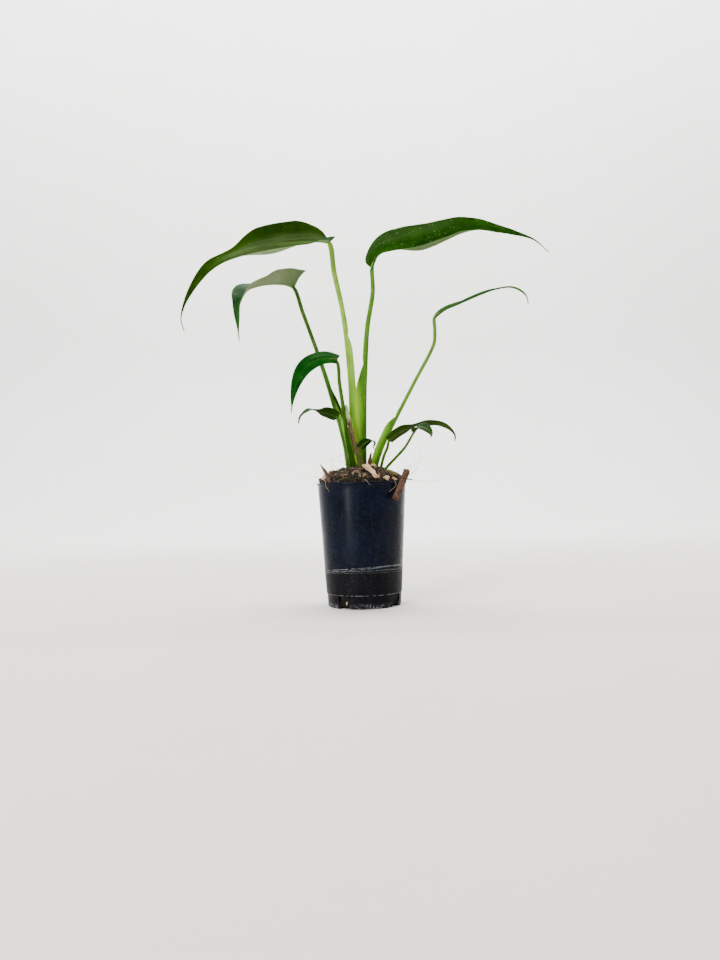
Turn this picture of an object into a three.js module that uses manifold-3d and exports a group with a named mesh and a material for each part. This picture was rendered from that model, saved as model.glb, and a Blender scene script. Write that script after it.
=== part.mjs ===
// A young flame-leaved monstera in a small round nursery pot.
// Millimetres, +Z up. The origin is the centre of the pot's underside, +X is to the
// right of the plant's front view and +Y points away from the viewer.
//
// Every leaf is two solids, a stalk (petiole) and a blade. Stalks grow from a buried
// crown through plain holes in the soil, and neighbours keep a small clearance.

import * as THREE from 'three';
import { mergeVertices } from 'three/addons/utils/BufferGeometryUtils.js';
import Module from 'manifold-3d';

const wasm = await Module();
wasm.setup();

// Clearance between pieces that touch on the real plant
const CLEARANCE = 0.3;

// Pot
const POT_HEIGHT = 95;
const RIM_RADIUS = 35;
const BASE_RADIUS = 28.2;
const WALL = 1.0;
const FLOOR = 1.2;
const LIP = 0.8;
const LIP_HEIGHT = 1.6;
const FOOT_CHAMFER = 0.5;
const FOOT_TOP_RADIUS = 28.8;
const STEP_RADIUS = 29.3;
const STEP_HEIGHT = 10.2;
const STEP = 0.5;
const EDGE = 0.4;
const POT_SIDES = 40;
const SLOT = { width: 9.5, height: 9.8, inner: 22, outer: 34, first: -33, count: 4 };

// Soil
const SOIL_RIM_HEIGHT = 96.2;
const MOUND_HEIGHT = 10.6;
const MOUND_POWER = 0.9;
const SOIL_RINGS = 8;
const SOIL_SIDES = 28;
const LUMP_COUNT = 46;
const CRUMB_COUNT = 18;

// Leaves
const BLADE_THICKNESS = 0.7;
const KEEL_HEIGHT = 0.7;
const LOBE_SPAN = 0.25;
const LOBE_POWER = 1.6;
const SHOULDER_SPAN = 0.13;
const TIP_HALF_WIDTH = 0.6;
const STALK_FOOT = 90;
const WING_THICKNESS = 0.7;

const degrees = THREE.MathUtils.degToRad;

// Numbers in 0..1 that repeat for the same seed
function seededRandom(seed) {
  let state = seed >>> 0;
  return () => {
    state = (state + 0x6d2b79f5) >>> 0;
    let mixed = Math.imul(state ^ (state >>> 15), state | 1);
    mixed ^= mixed + Math.imul(mixed ^ (mixed >>> 7), mixed | 61);
    return ((mixed ^ (mixed >>> 14)) >>> 0) / 4294967296;
  };
}

// The value at 0 <= s <= 1 of a list of evenly spaced stations, eased between them
function along(stations, s) {
  const place = THREE.MathUtils.clamp(s, 0, 1) * (stations.length - 1);
  const index = Math.min(Math.floor(place), stations.length - 2);
  const ease = THREE.MathUtils.smoothstep(place - index, 0, 1);
  return THREE.MathUtils.lerp(stations[index], stations[index + 1], ease);
}

function curveThrough(points) {
  return new THREE.CatmullRomCurve3(points.map((p) => new THREE.Vector3(...p)), false, 'centripetal');
}

function geometryFrom(points, triangles) {
  const geometry = new THREE.BufferGeometry().setFromPoints(points);
  geometry.setIndex(triangles);
  return geometry;
}

// A closed geometry as a solid for cutting and joining
function solidOf(geometry) {
  const bare = geometry.clone();
  bare.deleteAttribute('normal');
  bare.deleteAttribute('uv');
  const merged = mergeVertices(bare, 1e-4);
  return new wasm.Manifold(new wasm.Mesh({
    numProp: 3,
    vertProperties: Float32Array.from(merged.attributes.position.array),
    triVerts: Uint32Array.from(merged.index.array),
  }));
}

// The largest connected body of a solid, as a geometry
function geometryOf(solid) {
  const bodies = solid.decompose().sort((a, b) => b.volume() - a.volume());
  const mesh = bodies[0].getMesh();
  const positions = new Float32Array((mesh.vertProperties.length / mesh.numProp) * 3);
  for (let i = 0; i < positions.length / 3; i += 1) {
    positions.set(mesh.vertProperties.subarray(i * mesh.numProp, i * mesh.numProp + 3), i * 3);
  }
  const geometry = new THREE.BufferGeometry();
  geometry.setAttribute('position', new THREE.BufferAttribute(positions, 3));
  geometry.setIndex(Array.from(mesh.triVerts));
  return mergeVertices(geometry, 1e-4);
}

// A tube skinned over rings of equal size, closed by a flat cap at each end
function loft(rings, outline) {
  const size = outline.length;
  const points = rings.flat();
  const triangles = [];
  for (let i = 0; i < rings.length - 1; i += 1) {
    for (let j = 0; j < size; j += 1) {
      const a = i * size + j;
      const b = i * size + ((j + 1) % size);
      triangles.push(a, b, b + size, a, b + size, a + size);
    }
  }
  const last = (rings.length - 1) * size;
  for (const [a, b, c] of THREE.ShapeUtils.triangulateShape(outline, [])) {
    triangles.push(a, c, b, last + a, last + b, last + c);
  }
  return geometryFrom(points, triangles);
}

// A flat outline moved outwards by a distance, corner by corner
function grownOutline(outline, distance) {
  if (distance === 0) return outline;
  return outline.map((point, i) => {
    const before = outline[(i + outline.length - 1) % outline.length];
    const after = outline[(i + 1) % outline.length];
    const inward = point.clone().sub(before).normalize();
    const outward = after.clone().sub(point).normalize();
    const normal = new THREE.Vector2(inward.y + outward.y, -inward.x - outward.x).normalize();
    return point.clone().addScaledVector(normal, distance);
  });
}

// A tube along a curve. outlineAt(t) gives the section, in the plane of two axes that
// stay square to the curve: y points towards `open`, x completes the right-hand set.
function sweep(curve, steps, open, outlineAt, grow = 0) {
  const rings = [];
  const outlines = [];
  for (let i = 0; i <= steps; i += 1) {
    const t = i / steps;
    const tangent = curve.getTangentAt(t);
    const centre = curve.getPointAt(t);
    if (i === 0) centre.addScaledVector(tangent, -grow);
    if (i === steps) centre.addScaledVector(tangent, grow);
    const up = open.clone().addScaledVector(tangent, -open.dot(tangent)).normalize();
    const side = new THREE.Vector3().crossVectors(up, tangent);
    const outline = grownOutline(outlineAt(t), grow);
    outlines.push(outline);
    rings.push(outline.map((p) => centre.clone().addScaledVector(side, p.x).addScaledVector(up, p.y)));
  }
  return loft(rings, outlines[0]);
}

function roundOutline(radius, sides) {
  return Array.from({ length: sides }, (_, k) => {
    const angle = (2 * Math.PI * k) / sides;
    return new THREE.Vector2(radius * Math.cos(angle), radius * Math.sin(angle));
  });
}

// Section of a sheathed stalk: a round back, and two thin wings that stand up from its
// sides around an open channel, or around none if it is filled. With no wing it closes
// to a round section.
function sheathOutline(radius, wing, filled = false) {
  const open = THREE.MathUtils.smoothstep(wing, 0, radius);
  const wingTop = 0.3 * radius + wing;
  const innerX = 0.95 * radius - WING_THICKNESS;
  const channel = [
    filled ? [0.5 * innerX, wingTop] : [innerX, 0.3 * radius],
    [innerX, wingTop],
    [0.95 * radius, wingTop],
    [radius, 0],
    [0.7 * radius, -0.72 * radius],
  ];
  const half = [30, 60, 80, 105, 140].map((angle, k) => new THREE.Vector2(
    THREE.MathUtils.lerp(radius * Math.sin(degrees(angle)), channel[k][0], open),
    THREE.MathUtils.lerp(radius * Math.cos(degrees(angle)), channel[k][1], open),
  ));
  const channelFloor = filled ? wingTop : 0.15 * radius;
  const floor = new THREE.Vector2(0, THREE.MathUtils.lerp(radius, channelFloor, open));
  const back = new THREE.Vector2(0, -radius);
  const mirrored = half.map((p) => new THREE.Vector2(-p.x, p.y));
  return [floor, ...mirrored, back, ...half.reverse()];
}

// A leaf stalk. Its sheath wings rise just above the foot and end at `sheath.end`.
// Grown, it is the plain hole that the stalk stands in.
function stalkGeometry(leaf, grow = 0) {
  const { stalk } = leaf;
  const [footX, footY] = stalk.foot;
  const curve = curveThrough([[footX, footY, STALK_FOOT], ...stalk.route, leaf.blade.midrib[0]]);
  const open = new THREE.Vector3(...stalk.open);
  if (!stalk.sheath) {
    return sweep(curve, stalk.steps, open, (t) => roundOutline(along(stalk.radii, t), 8), grow);
  }
  const { wing, end } = stalk.sheath;
  return sweep(curve, stalk.steps, open, (t) => {
    const rise = THREE.MathUtils.smoothstep(t, 0.04, 0.14);
    const fade = 1 - THREE.MathUtils.smoothstep(t, end - 0.12, end);
    return sheathOutline(along(stalk.radii, t), wing * rise * fade, grow > 0);
  }, grow);
}

// Half width of a blade at s, from 0 at the stalk to 1 at the tip: round shoulders at
// the base and a long drawn-out point.
function halfWidthAt(blade, s) {
  const taper = ((1 - s) ** blade.taper * (1 + 3 * s)) / 1.066;
  const shoulder = Math.sqrt(1 - (1 - Math.min(1, s / SHOULDER_SPAN)) ** 2);
  const base = blade.base + (1 - blade.base) * shoulder;
  return Math.max(TIP_HALF_WIDTH, blade.halfWidth * taper * base);
}

// A blade as a thin sheet on its arched midrib. s runs along the leaf and q across it,
// -1 at the left margin and 1 at the right one, seen from above looking to the tip.
// The section turns by `roll` about the midrib. Each half leaves the midrib at its own
// `fold` angle and bends by its own `curl` towards the margin. Margins carry waves.
function bladeGeometry(leaf, grow = 0) {
  const { blade } = leaf;
  const curve = curveThrough(blade.midrib);
  const length = curve.getLength();
  const heading = curve.getPoint(1).sub(curve.getPoint(0)).setZ(0).normalize();
  const level = new THREE.Vector3(heading.y, -heading.x, 0);

  const frameAt = (place, roll) => {
    const on = THREE.MathUtils.clamp(place, 0, 1);
    const tangent = curve.getTangentAt(on);
    const across = level.clone().addScaledVector(tangent, -level.dot(tangent)).normalize();
    const above = new THREE.Vector3().crossVectors(across, tangent);
    const right = across.clone().multiplyScalar(Math.cos(roll)).addScaledVector(above, Math.sin(roll));
    const normal = above.multiplyScalar(Math.cos(roll)).addScaledVector(across, -Math.sin(roll));
    const origin = curve.getPointAt(on).addScaledVector(tangent, (place - on) * length);
    return { origin, right, normal };
  };

  // A grown blade is longer by `grow` at both ends
  const stretched = (place) => place * (1 + (2 * grow) / length) - grow / length;

  // Points from the midrib to one margin, with the direction that the upper face looks in
  const halfRow = (s, side) => {
    const shape = side > 0 ? blade.right : blade.left;
    const width = halfWidthAt(blade, s) + grow;
    const fold = degrees(along(shape.fold, s));
    const curl = degrees(along(shape.curl, s));
    const sweptBack = blade.lobe * (1 - Math.min(1, s / LOBE_SPAN)) ** 2;
    const row = [];
    let lateral = 0;
    let lift = 0;
    let inner = 0;
    for (const q of blade.columns) {
      const middle = fold + curl * ((q + inner) / 2) ** 2;
      lateral += width * (q - inner) * Math.cos(middle);
      lift += width * (q - inner) * Math.sin(middle);
      inner = q;
      const place = stretched(s - sweptBack * q ** LOBE_POWER);
      const { origin, right, normal } = frameAt(place, degrees(along(blade.roll, s)));
      const ripple = Math.sin(2 * Math.PI * (blade.waves * s + 0.25 * side));
      const wave = blade.wave * q ** 2 * ripple * (width / blade.halfWidth);
      const angle = fold + curl * q ** 2;
      row.push({
        point: origin.addScaledVector(right, side * lateral).addScaledVector(normal, lift + wave),
        facing: normal.multiplyScalar(Math.cos(angle)).addScaledVector(right, -side * Math.sin(angle)),
      });
    }
    return row;
  };

  const rows = Array.from({ length: blade.rows + 1 }, (_, i) => {
    const s = i / blade.rows;
    const { origin, normal } = frameAt(stretched(s), degrees(along(blade.roll, s)));
    const keel = KEEL_HEIGHT * (1 - 0.8 * s);
    return [...halfRow(s, -1).reverse(), { point: origin, facing: normal, keel }, ...halfRow(s, 1)];
  });

  const points = [];
  for (const face of [1, -1]) {
    for (const { point, facing, keel = 0 } of rows.flat()) {
      const offset = face * (BLADE_THICKNESS / 2 + grow) - (face < 0 ? keel : 0);
      points.push(point.clone().addScaledVector(facing, offset));
    }
  }

  const across = rows[0].length;
  const sheet = rows.length * across;
  const triangles = [];
  const quad = (a, b, c, d) => triangles.push(a, b, c, a, c, d);
  for (let i = 0; i < blade.rows; i += 1) {
    for (let j = 0; j < across - 1; j += 1) {
      const a = i * across + j;
      quad(a, a + 1, a + 1 + across, a + across);
      triangles.push(sheet + a, sheet + a + 1 + across, sheet + a + 1);
      triangles.push(sheet + a, sheet + a + across, sheet + a + 1 + across);
    }
    const leftEdge = i * across;
    const rightEdge = leftEdge + across - 1;
    quad(leftEdge, leftEdge + across, sheet + leftEdge + across, sheet + leftEdge);
    quad(rightEdge, sheet + rightEdge, sheet + rightEdge + across, rightEdge + across);
  }
  for (let j = 0; j < across - 1; j += 1) {
    const end = blade.rows * across + j;
    quad(j, sheet + j, sheet + j + 1, j + 1);
    quad(end, end + 1, sheet + end + 1, sheet + end);
  }
  return geometryFrom(points, triangles);
}

const WIDE_COLUMNS = [0.08, 0.3, 0.53, 0.77, 1];
const NARROW_COLUMNS = [0.12, 0.55, 1];

// Each leaf: its stalk from the crown up, and its blade from the stalk out to the tip.
// Lists of angles, in degrees, and of radii are stations spaced evenly along the piece.
const LEAVES = [
  {
    name: 'upper_left',
    stalk: {
      foot: [-2, 6],
      route: [[-3.5, 9, 108], [-6, 9, 144], [-6.5, 8.5, 172], [-10.5, 7, 224], [-17.5, 6, 262]],
      radii: [2.5, 2.4, 2.1, 2.0, 2.1],
      open: [1, -0.1, 0],
      steps: 14,
      sheath: { wing: 3, end: 0.66 },
    },
    blade: {
      midrib: [
        [-21, 4, 284.5], [-27, 2, 286.5], [-39, -2, 288], [-50.5, -6, 287.5], [-71.5, -13, 281.5],
        [-91.5, -19, 271], [-110, -24, 258], [-124.5, -28, 239.5], [-131.5, -29, 220], [-129.5, -28, 210.5],
      ],
      halfWidth: 19,
      taper: 1.9,
      base: 0.5,
      lobe: 0.03,
      roll: [50, 50, 40, 34, 48, 55, 50],
      left: { fold: [28, 7, -24, 6, 16, 16, 10], curl: [0, 0, 85, 20, 0, 0, 0] },
      right: { fold: [12, 8, -2, -4, 2, 4, 4], curl: [-50, 4, 4, 0, 0, 0, 0] },
      wave: 0.5,
      waves: 2,
      rows: 21,
      columns: WIDE_COLUMNS,
    },
  },
  {
    name: 'upper_right',
    stalk: {
      foot: [2, 0],
      route: [[2, 1, 107], [2.5, 0, 136], [4, 0, 171], [7.5, -1, 215], [12.5, -3, 243]],
      radii: [2.6, 2.5, 2.2, 1.9, 1.7],
      open: [-1, -0.1, 0],
      steps: 14,
      sheath: { wing: 4.6, end: 0.6 },
    },
    blade: {
      midrib: [
        [12.5, -4, 261.5], [15, -5, 269], [22.5, -6, 274.5], [34.5, -8.5, 277], [53.5, -12.5, 280],
        [68.5, -15, 284], [80, -17, 287], [95, -19, 288], [109.5, -21, 284.5], [120.5, -22, 280.5],
        [135, -24, 273.5], [145, -25, 264],
      ],
      halfWidth: 19.5,
      taper: 1.9,
      base: 0.42,
      lobe: 0.035,
      roll: [-48, -46, -50, -60, -60, -60, -60],
      left: { fold: [14, 14, 12, 4, 0, 0, 0], curl: [-70, 0, 0, 0, 0, 0, 0] },
      right: { fold: [28, 13, 0, -10, 2, 2, 2], curl: [0, 0, 100, 110, 20, 0, 0] },
      wave: 0.5,
      waves: 2,
      rows: 21,
      columns: WIDE_COLUMNS,
    },
  },
  {
    name: 'middle_left',
    stalk: {
      foot: [-6, 3.5],
      route: [[-9.5, 6, 108], [-12.5, 6.5, 129], [-18.5, 7, 152], [-30.5, 10.5, 193], [-43.5, 13, 232]],
      radii: [1.9, 1.8, 1.6, 1.6],
      open: [0.8, -0.6, 0],
      steps: 13,
      sheath: { wing: 2.4, end: 0.5 },
    },
    blade: {
      midrib: [
        [-50.5, 15, 252.5], [-56.5, 13, 254.5], [-68.5, 8, 254], [-79.5, 2, 250.5], [-85.5, -2, 246.5],
        [-91, -8, 233.5], [-92, -9, 216], [-91.5, -9, 206],
      ],
      halfWidth: 13.5,
      taper: 1.8,
      base: 1,
      lobe: 0.09,
      roll: [8, 8, 10, 30, 48, 55, 50],
      left: { fold: [64, 46, 30, 50, 60, 40, 20], curl: [0, 0, 0, 0, 0, 0, 0] },
      right: { fold: [40, 36, 14, 4, 6, 8, 8], curl: [0, 0, 0, 0, 0, 0, 0] },
      wave: 0.5,
      waves: 2,
      rows: 18,
      columns: WIDE_COLUMNS,
    },
  },
  {
    name: 'low_left',
    stalk: {
      foot: [-5, -2],
      route: [[-7, -3, 108], [-10, -5, 128], [-12.5, -8, 151], [-15, -10, 171]],
      radii: [1.6, 1.5, 1.3],
      open: [1, 0, 0],
      steps: 12,
    },
    blade: {
      midrib: [
        [-17, -11, 188.5], [-24.5, -15, 189.8], [-33.5, -21, 187], [-41, -27, 180.5], [-46, -31, 171],
        [-49, -34, 159.5], [-50.5, -35, 147],
      ],
      halfWidth: 6.3,
      taper: 1.4,
      base: 0.2,
      lobe: 0.03,
      roll: [50, 52, 52, 50],
      left: { fold: [12, 10, 8], curl: [0, 0, 0] },
      right: { fold: [12, 10, 8], curl: [0, 0, 0] },
      wave: 0.3,
      waves: 2,
      rows: 14,
      columns: NARROW_COLUMNS,
    },
  },
  {
    name: 'lowest_left',
    stalk: {
      foot: [-7, -5],
      route: [[-10, -8, 108], [-13, -10, 125.5], [-15.5, -13, 137]],
      radii: [1.3, 1.2, 1.1],
      open: [1, 0, 0],
      steps: 9,
    },
    blade: {
      midrib: [
        [-17, -15.5, 144.5], [-22, -18, 147], [-27, -21, 148.5], [-32, -24, 149.5], [-37, -28, 150],
        [-41.5, -31, 147.5], [-44.5, -33, 143.8], [-45.5, -35, 139],
      ],
      halfWidth: 5.2,
      taper: 1.4,
      base: 0.5,
      lobe: 0.02,
      roll: [-42, -40, 6, 45, 50],
      left: { fold: [10, 10, 8], curl: [0, 0, 0] },
      right: { fold: [10, 10, 8], curl: [0, 0, 0] },
      wave: 0.2,
      waves: 1.5,
      rows: 14,
      columns: NARROW_COLUMNS,
    },
  },
  {
    name: 'middle_right',
    stalk: {
      foot: [8, 2],
      route: [
        [11.5, 3, 107], [16.5, 3, 121.5], [22.5, 3, 134], [32.5, 2, 152.5], [46, 1, 177],
        [56.5, -1, 195.5], [59.5, -2, 203], [60, -3, 213],
      ],
      radii: [1.8, 1.6, 1.4, 1.4],
      open: [-0.8, 0.1, 0.6],
      steps: 17,
      sheath: { wing: 4.2, end: 0.44 },
    },
    blade: {
      midrib: [
        [60, -4, 221.5], [68, -6, 227], [78, -9, 230.5], [90.5, -12, 235], [105.5, -15, 239.5],
        [116.5, -18, 240], [124, -19, 237], [128.5, -20, 232], [129.5, -20, 226.5],
      ],
      halfWidth: 11,
      taper: 1.5,
      base: 0.5,
      lobe: 0.04,
      roll: [-22, -12, -12, -14],
      left: { fold: [8, 6, 6], curl: [0, 0, 0] },
      right: { fold: [8, 6, 6], curl: [0, 0, 0] },
      wave: 0.4,
      waves: 2,
      rows: 16,
      columns: NARROW_COLUMNS,
    },
  },
  {
    name: 'low_right_long',
    stalk: {
      foot: [12, -4],
      route: [[15.5, -5, 107], [18, -6, 115.5], [20.5, -7, 121]],
      radii: [1.3, 1.2, 1.1],
      open: [-1, 0, 0],
      steps: 8,
    },
    blade: {
      midrib: [
        [22, -8, 126.5], [27.5, -11, 131], [34, -14, 134.5], [41, -17, 136.5], [48, -20, 137.5],
        [57, -24, 137.5], [64, -27, 135], [69, -28, 130.5], [70.5, -28, 127], [70, -28, 123.5],
      ],
      halfWidth: 4.3,
      taper: 1.2,
      base: 0.75,
      lobe: 0.03,
      roll: [38, 38, 2, 18, 20, 20],
      left: { fold: [10, 10, 8], curl: [0, 0, 0] },
      right: { fold: [10, 10, 8], curl: [0, 0, 0] },
      wave: 0.2,
      waves: 2,
      rows: 16,
      columns: NARROW_COLUMNS,
    },
  },
  {
    name: 'low_right_short',
    stalk: {
      foot: [13, -8],
      route: [[17.5, -10, 103], [22.5, -13, 109], [28, -16, 114.5], [33.5, -20, 120.5]],
      radii: [1.2, 1.1, 0.9],
      open: [-1, 0, 0],
      steps: 9,
    },
    blade: {
      midrib: [
        [40, -26, 131], [42.5, -28, 134], [46.5, -31, 134.5], [50, -34, 132], [52, -36, 128.5],
        [51.5, -37, 126],
      ],
      halfWidth: 3.6,
      taper: 1.1,
      base: 0.6,
      lobe: 0.02,
      roll: [-15, -40, -50],
      left: { fold: [25, 12, 8], curl: [0, 0, 0] },
      right: { fold: [35, 12, 8], curl: [0, 0, 0] },
      wave: 0.1,
      waves: 1,
      rows: 10,
      columns: NARROW_COLUMNS,
    },
  },
  {
    name: 'centre_front',
    stalk: {
      foot: [0, -7],
      route: [[-0.5, -12, 105.5], [-1, -13.5, 113]],
      radii: [0.9, 0.8, 0.8],
      open: [-1, 0, 0],
      steps: 6,
    },
    blade: {
      midrib: [
        [-0.5, -15, 121], [2.5, -18, 124], [6.5, -21, 126], [9.5, -23, 125.5], [10.5, -24, 123.5],
        [9.5, -25, 121], [11, -26, 118.5],
      ],
      halfWidth: 3.6,
      taper: 1.6,
      base: 0.8,
      lobe: 0.08,
      roll: [35, 35, 10, 0],
      left: { fold: [10, 10, 8], curl: [0, 0, 0] },
      right: { fold: [10, 10, 8], curl: [0, 0, 0] },
      wave: 0.1,
      waves: 1,
      rows: 12,
      columns: NARROW_COLUMNS,
    },
  },
];

// Colours and finish
const FINISHES = {
  pot: { color: 0x0b121c, roughness: 0.42 },
  soil: { color: 0x2e2217, roughness: 0.95 },
  root: { color: 0xb59b74, roughness: 0.85 },
  blade: { color: 0x2c4f08, roughness: 0.38 },
  stalk: { color: 0x7fb043, roughness: 0.45 },
  driedSheath: { color: 0x8a6640, roughness: 0.8 },
  bark: { color: 0x5a3a2a, roughness: 0.9 },
  chip: { color: 0xcda97c, roughness: 0.85 },
  surfaceRoot: { color: 0x6e6a3c, roughness: 0.85 },
};

const plant = new THREE.Group();
plant.name = 'potted_flame_monstera';

function addNode(name, geometry, finish) {
  const material = new THREE.MeshStandardMaterial({ ...FINISHES[finish], metalness: 0 });
  material.name = finish;
  const mesh = new THREE.Mesh(geometry, material);
  mesh.name = name;
  plant.add(mesh);
}

// Pot

// The wall tapers evenly from the step above the foot to the rim
const outerRadius = (z) => (
  THREE.MathUtils.mapLinear(z, STEP_HEIGHT, POT_HEIGHT, STEP_RADIUS, RIM_RADIUS - LIP)
);
const innerRadius = (z) => outerRadius(z) - WALL;

function potGeometry() {
  const under = POT_HEIGHT - LIP_HEIGHT;
  const profile = [
    [0, 0],
    [BASE_RADIUS - FOOT_CHAMFER, 0],
    [BASE_RADIUS, FOOT_CHAMFER],
    [FOOT_TOP_RADIUS, STEP_HEIGHT - STEP],
    [STEP_RADIUS, STEP_HEIGHT],
    [outerRadius(under - EDGE), under - EDGE],
    [RIM_RADIUS, under],
    [RIM_RADIUS, POT_HEIGHT - EDGE],
    [RIM_RADIUS - EDGE, POT_HEIGHT],
    [innerRadius(POT_HEIGHT) + EDGE, POT_HEIGHT],
    [innerRadius(POT_HEIGHT - EDGE), POT_HEIGHT - EDGE],
    [innerRadius(STEP_HEIGHT), STEP_HEIGHT],
    [BASE_RADIUS - WALL, FLOOR],
    [0, FLOOR],
  ].map(([r, z]) => new THREE.Vector2(r, z));
  const lathe = new THREE.LatheGeometry(profile, POT_SIDES).rotateX(Math.PI / 2);
  let pot = solidOf(lathe);
  for (let k = 0; k < SLOT.count; k += 1) {
    const depth = SLOT.outer - SLOT.inner;
    const slot = new THREE.BoxGeometry(SLOT.width, depth, SLOT.height + 1)
      .translate(0, -SLOT.inner - depth / 2, (SLOT.height - 1) / 2)
      .rotateZ(degrees(SLOT.first + (360 / SLOT.count) * k));
    pot = pot.subtract(solidOf(slot));
  }
  return geometryOf(pot);
}

// Soil

const soilRandom = seededRandom(20);
const soilLumps = Array.from({ length: LUMP_COUNT }, () => {
  const radius = 31 * Math.sqrt(soilRandom());
  const angle = 2 * Math.PI * soilRandom();
  return {
    x: radius * Math.cos(angle),
    y: radius * Math.sin(angle),
    reach: 2.5 + 3 * soilRandom(),
    height: 0.5 + 1.4 * soilRandom(),
  };
});

// Height of the heap: a mound that falls to the rim, with round lumps on it
function soilHeight(x, y) {
  const edge = Math.min(1, Math.hypot(x, y) / innerRadius(POT_HEIGHT));
  const mound = SOIL_RIM_HEIGHT + MOUND_HEIGHT * (1 - edge ** 2) ** MOUND_POWER;
  const lump = soilLumps.reduce((high, l) => {
    const distance = Math.hypot(x - l.x, y - l.y) / l.reach;
    return Math.max(high, distance < 1 ? l.height * (1 - distance ** 2) : 0);
  }, 0);
  return mound + lump * (1 - edge ** 4);
}

function heapSolid() {
  const top = POT_HEIGHT - 0.5;
  const wall = [
    [innerRadius(top) - CLEARANCE, SOIL_RIM_HEIGHT],
    [innerRadius(STEP_HEIGHT) - CLEARANCE, STEP_HEIGHT],
    [BASE_RADIUS - WALL - CLEARANCE, FLOOR + CLEARANCE],
  ];
  const points = [new THREE.Vector3(0, 0, soilHeight(0, 0))];
  const ringAt = (radius, heightAt) => {
    for (let j = 0; j < SOIL_SIDES; j += 1) {
      const angle = (2 * Math.PI * j) / SOIL_SIDES;
      const x = radius * Math.cos(angle);
      const y = radius * Math.sin(angle);
      points.push(new THREE.Vector3(x, y, heightAt(x, y)));
    }
  };
  for (let i = 1; i < SOIL_RINGS; i += 1) ringAt((wall[0][0] * i) / SOIL_RINGS, soilHeight);
  for (const [radius, height] of wall) ringAt(radius, () => height);
  points.push(new THREE.Vector3(0, 0, FLOOR + CLEARANCE));

  const triangles = [];
  const ringStart = (i) => 1 + i * SOIL_SIDES;
  const rings = SOIL_RINGS - 1 + wall.length;
  for (let j = 0; j < SOIL_SIDES; j += 1) {
    const next = (j + 1) % SOIL_SIDES;
    triangles.push(0, ringStart(0) + j, ringStart(0) + next);
    for (let i = 0; i < rings - 1; i += 1) {
      const a = ringStart(i) + j;
      const b = ringStart(i) + next;
      triangles.push(a, a + SOIL_SIDES, b + SOIL_SIDES, a, b + SOIL_SIDES, b);
    }
    triangles.push(ringStart(rings - 1) + j, points.length - 1, ringStart(rings - 1) + next);
  }
  return solidOf(geometryFrom(points, triangles));
}

// Crumbs are uneven octahedra, sunk to their middle in the heap
function crumbSolids() {
  const random = seededRandom(7);
  return Array.from({ length: CRUMB_COUNT }, () => {
    const radius = 30 * Math.sqrt(random());
    const angle = 2 * Math.PI * random();
    const size = 1.6 + 1.6 * random();
    const x = radius * Math.cos(angle);
    const y = radius * Math.sin(angle);
    const crumb = new THREE.OctahedronGeometry(size)
      .scale(1.3, 0.8 + 0.4 * random(), 0.7)
      .rotateX(random())
      .rotateZ(6 * random())
      .translate(x, y, soilHeight(x, y) - 0.1);
    return solidOf(crumb);
  });
}

// Crown and roots

const CROWN_LOBES = [
  { centre: [-2, 1, 87], radii: [10, 10, 8] },
  { centre: [9, -3, 87], radii: [9, 9, 8] },
];
const ROOTS = [
  { azimuth: -33, reach: 27.2, end: 5, radius: 1.1 },
  { azimuth: 25, reach: 25, end: 22, radius: 1.2 },
  { azimuth: 95, reach: 27, end: 34, radius: 1.0 },
  { azimuth: 215, reach: 28, end: 46, radius: 1.1 },
  { azimuth: 275, reach: 26, end: 26, radius: 1.2 },
];

// A root leaves the crown outwards, turns down near the pot's wall and ends at its depth.
// Azimuths run from the front of the pot towards +X.
function rootGeometry(root, grow) {
  const azimuth = degrees(root.azimuth);
  const outward = new THREE.Vector3(Math.sin(azimuth), -Math.cos(azimuth), 0);
  const sideways = new THREE.Vector3(-outward.y, outward.x, 0);
  const at = (reach, z) => [2 + outward.x * reach, outward.y * reach, z];
  const endPoint = [outward.x * root.reach, outward.y * root.reach, root.end];
  const drop = 80 - root.end;
  const route = [at(2, 85), at(10, 78), at(18, 80 - 0.25 * drop), at(21, 80 - 0.7 * drop), endPoint];
  const outlineAt = (t) => roundOutline(root.radius * (1 - 0.35 * t), 5);
  return sweep(curveThrough(route), 6, sideways, outlineAt, grow);
}

function crownSolid(grow = 0) {
  const lobes = CROWN_LOBES.map(({ centre, radii }) => solidOf(
    new THREE.SphereGeometry(1, 12, 8)
      .rotateX(Math.PI / 2)
      .scale(radii[0] + grow, radii[1] + grow, radii[2] + grow)
      .translate(...centre),
  ));
  return wasm.Manifold.union([...lobes, ...ROOTS.map((root) => solidOf(rootGeometry(root, grow)))]);
}

// Pieces lying on or standing in the soil

// A thin curled strip that follows a route, `width` wide and bowed by `bow`
function stripGeometry(strip, grow = 0) {
  const outlineAt = (t) => {
    const half = along(strip.halfWidths, t);
    const bowed = [[-1, 0.5], [-0.4, 0], [0.4, 0], [1, 0.5]];
    const face = (offset) => bowed.map(([x, lift]) => (
      new THREE.Vector2(x * half, lift * strip.bow * half + offset)
    ));
    return [...face(-strip.thickness / 2), ...face(strip.thickness / 2).reverse()];
  };
  const open = new THREE.Vector3(...strip.open);
  return sweep(curveThrough(strip.route), strip.steps, open, outlineAt, grow);
}

function rodGeometry(rod, grow = 0) {
  const open = new THREE.Vector3(...rod.open);
  const outlineAt = (t) => roundOutline(along(rod.radii, t), rod.sides);
  return sweep(curveThrough(rod.route), rod.steps, open, outlineAt, grow);
}

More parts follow.
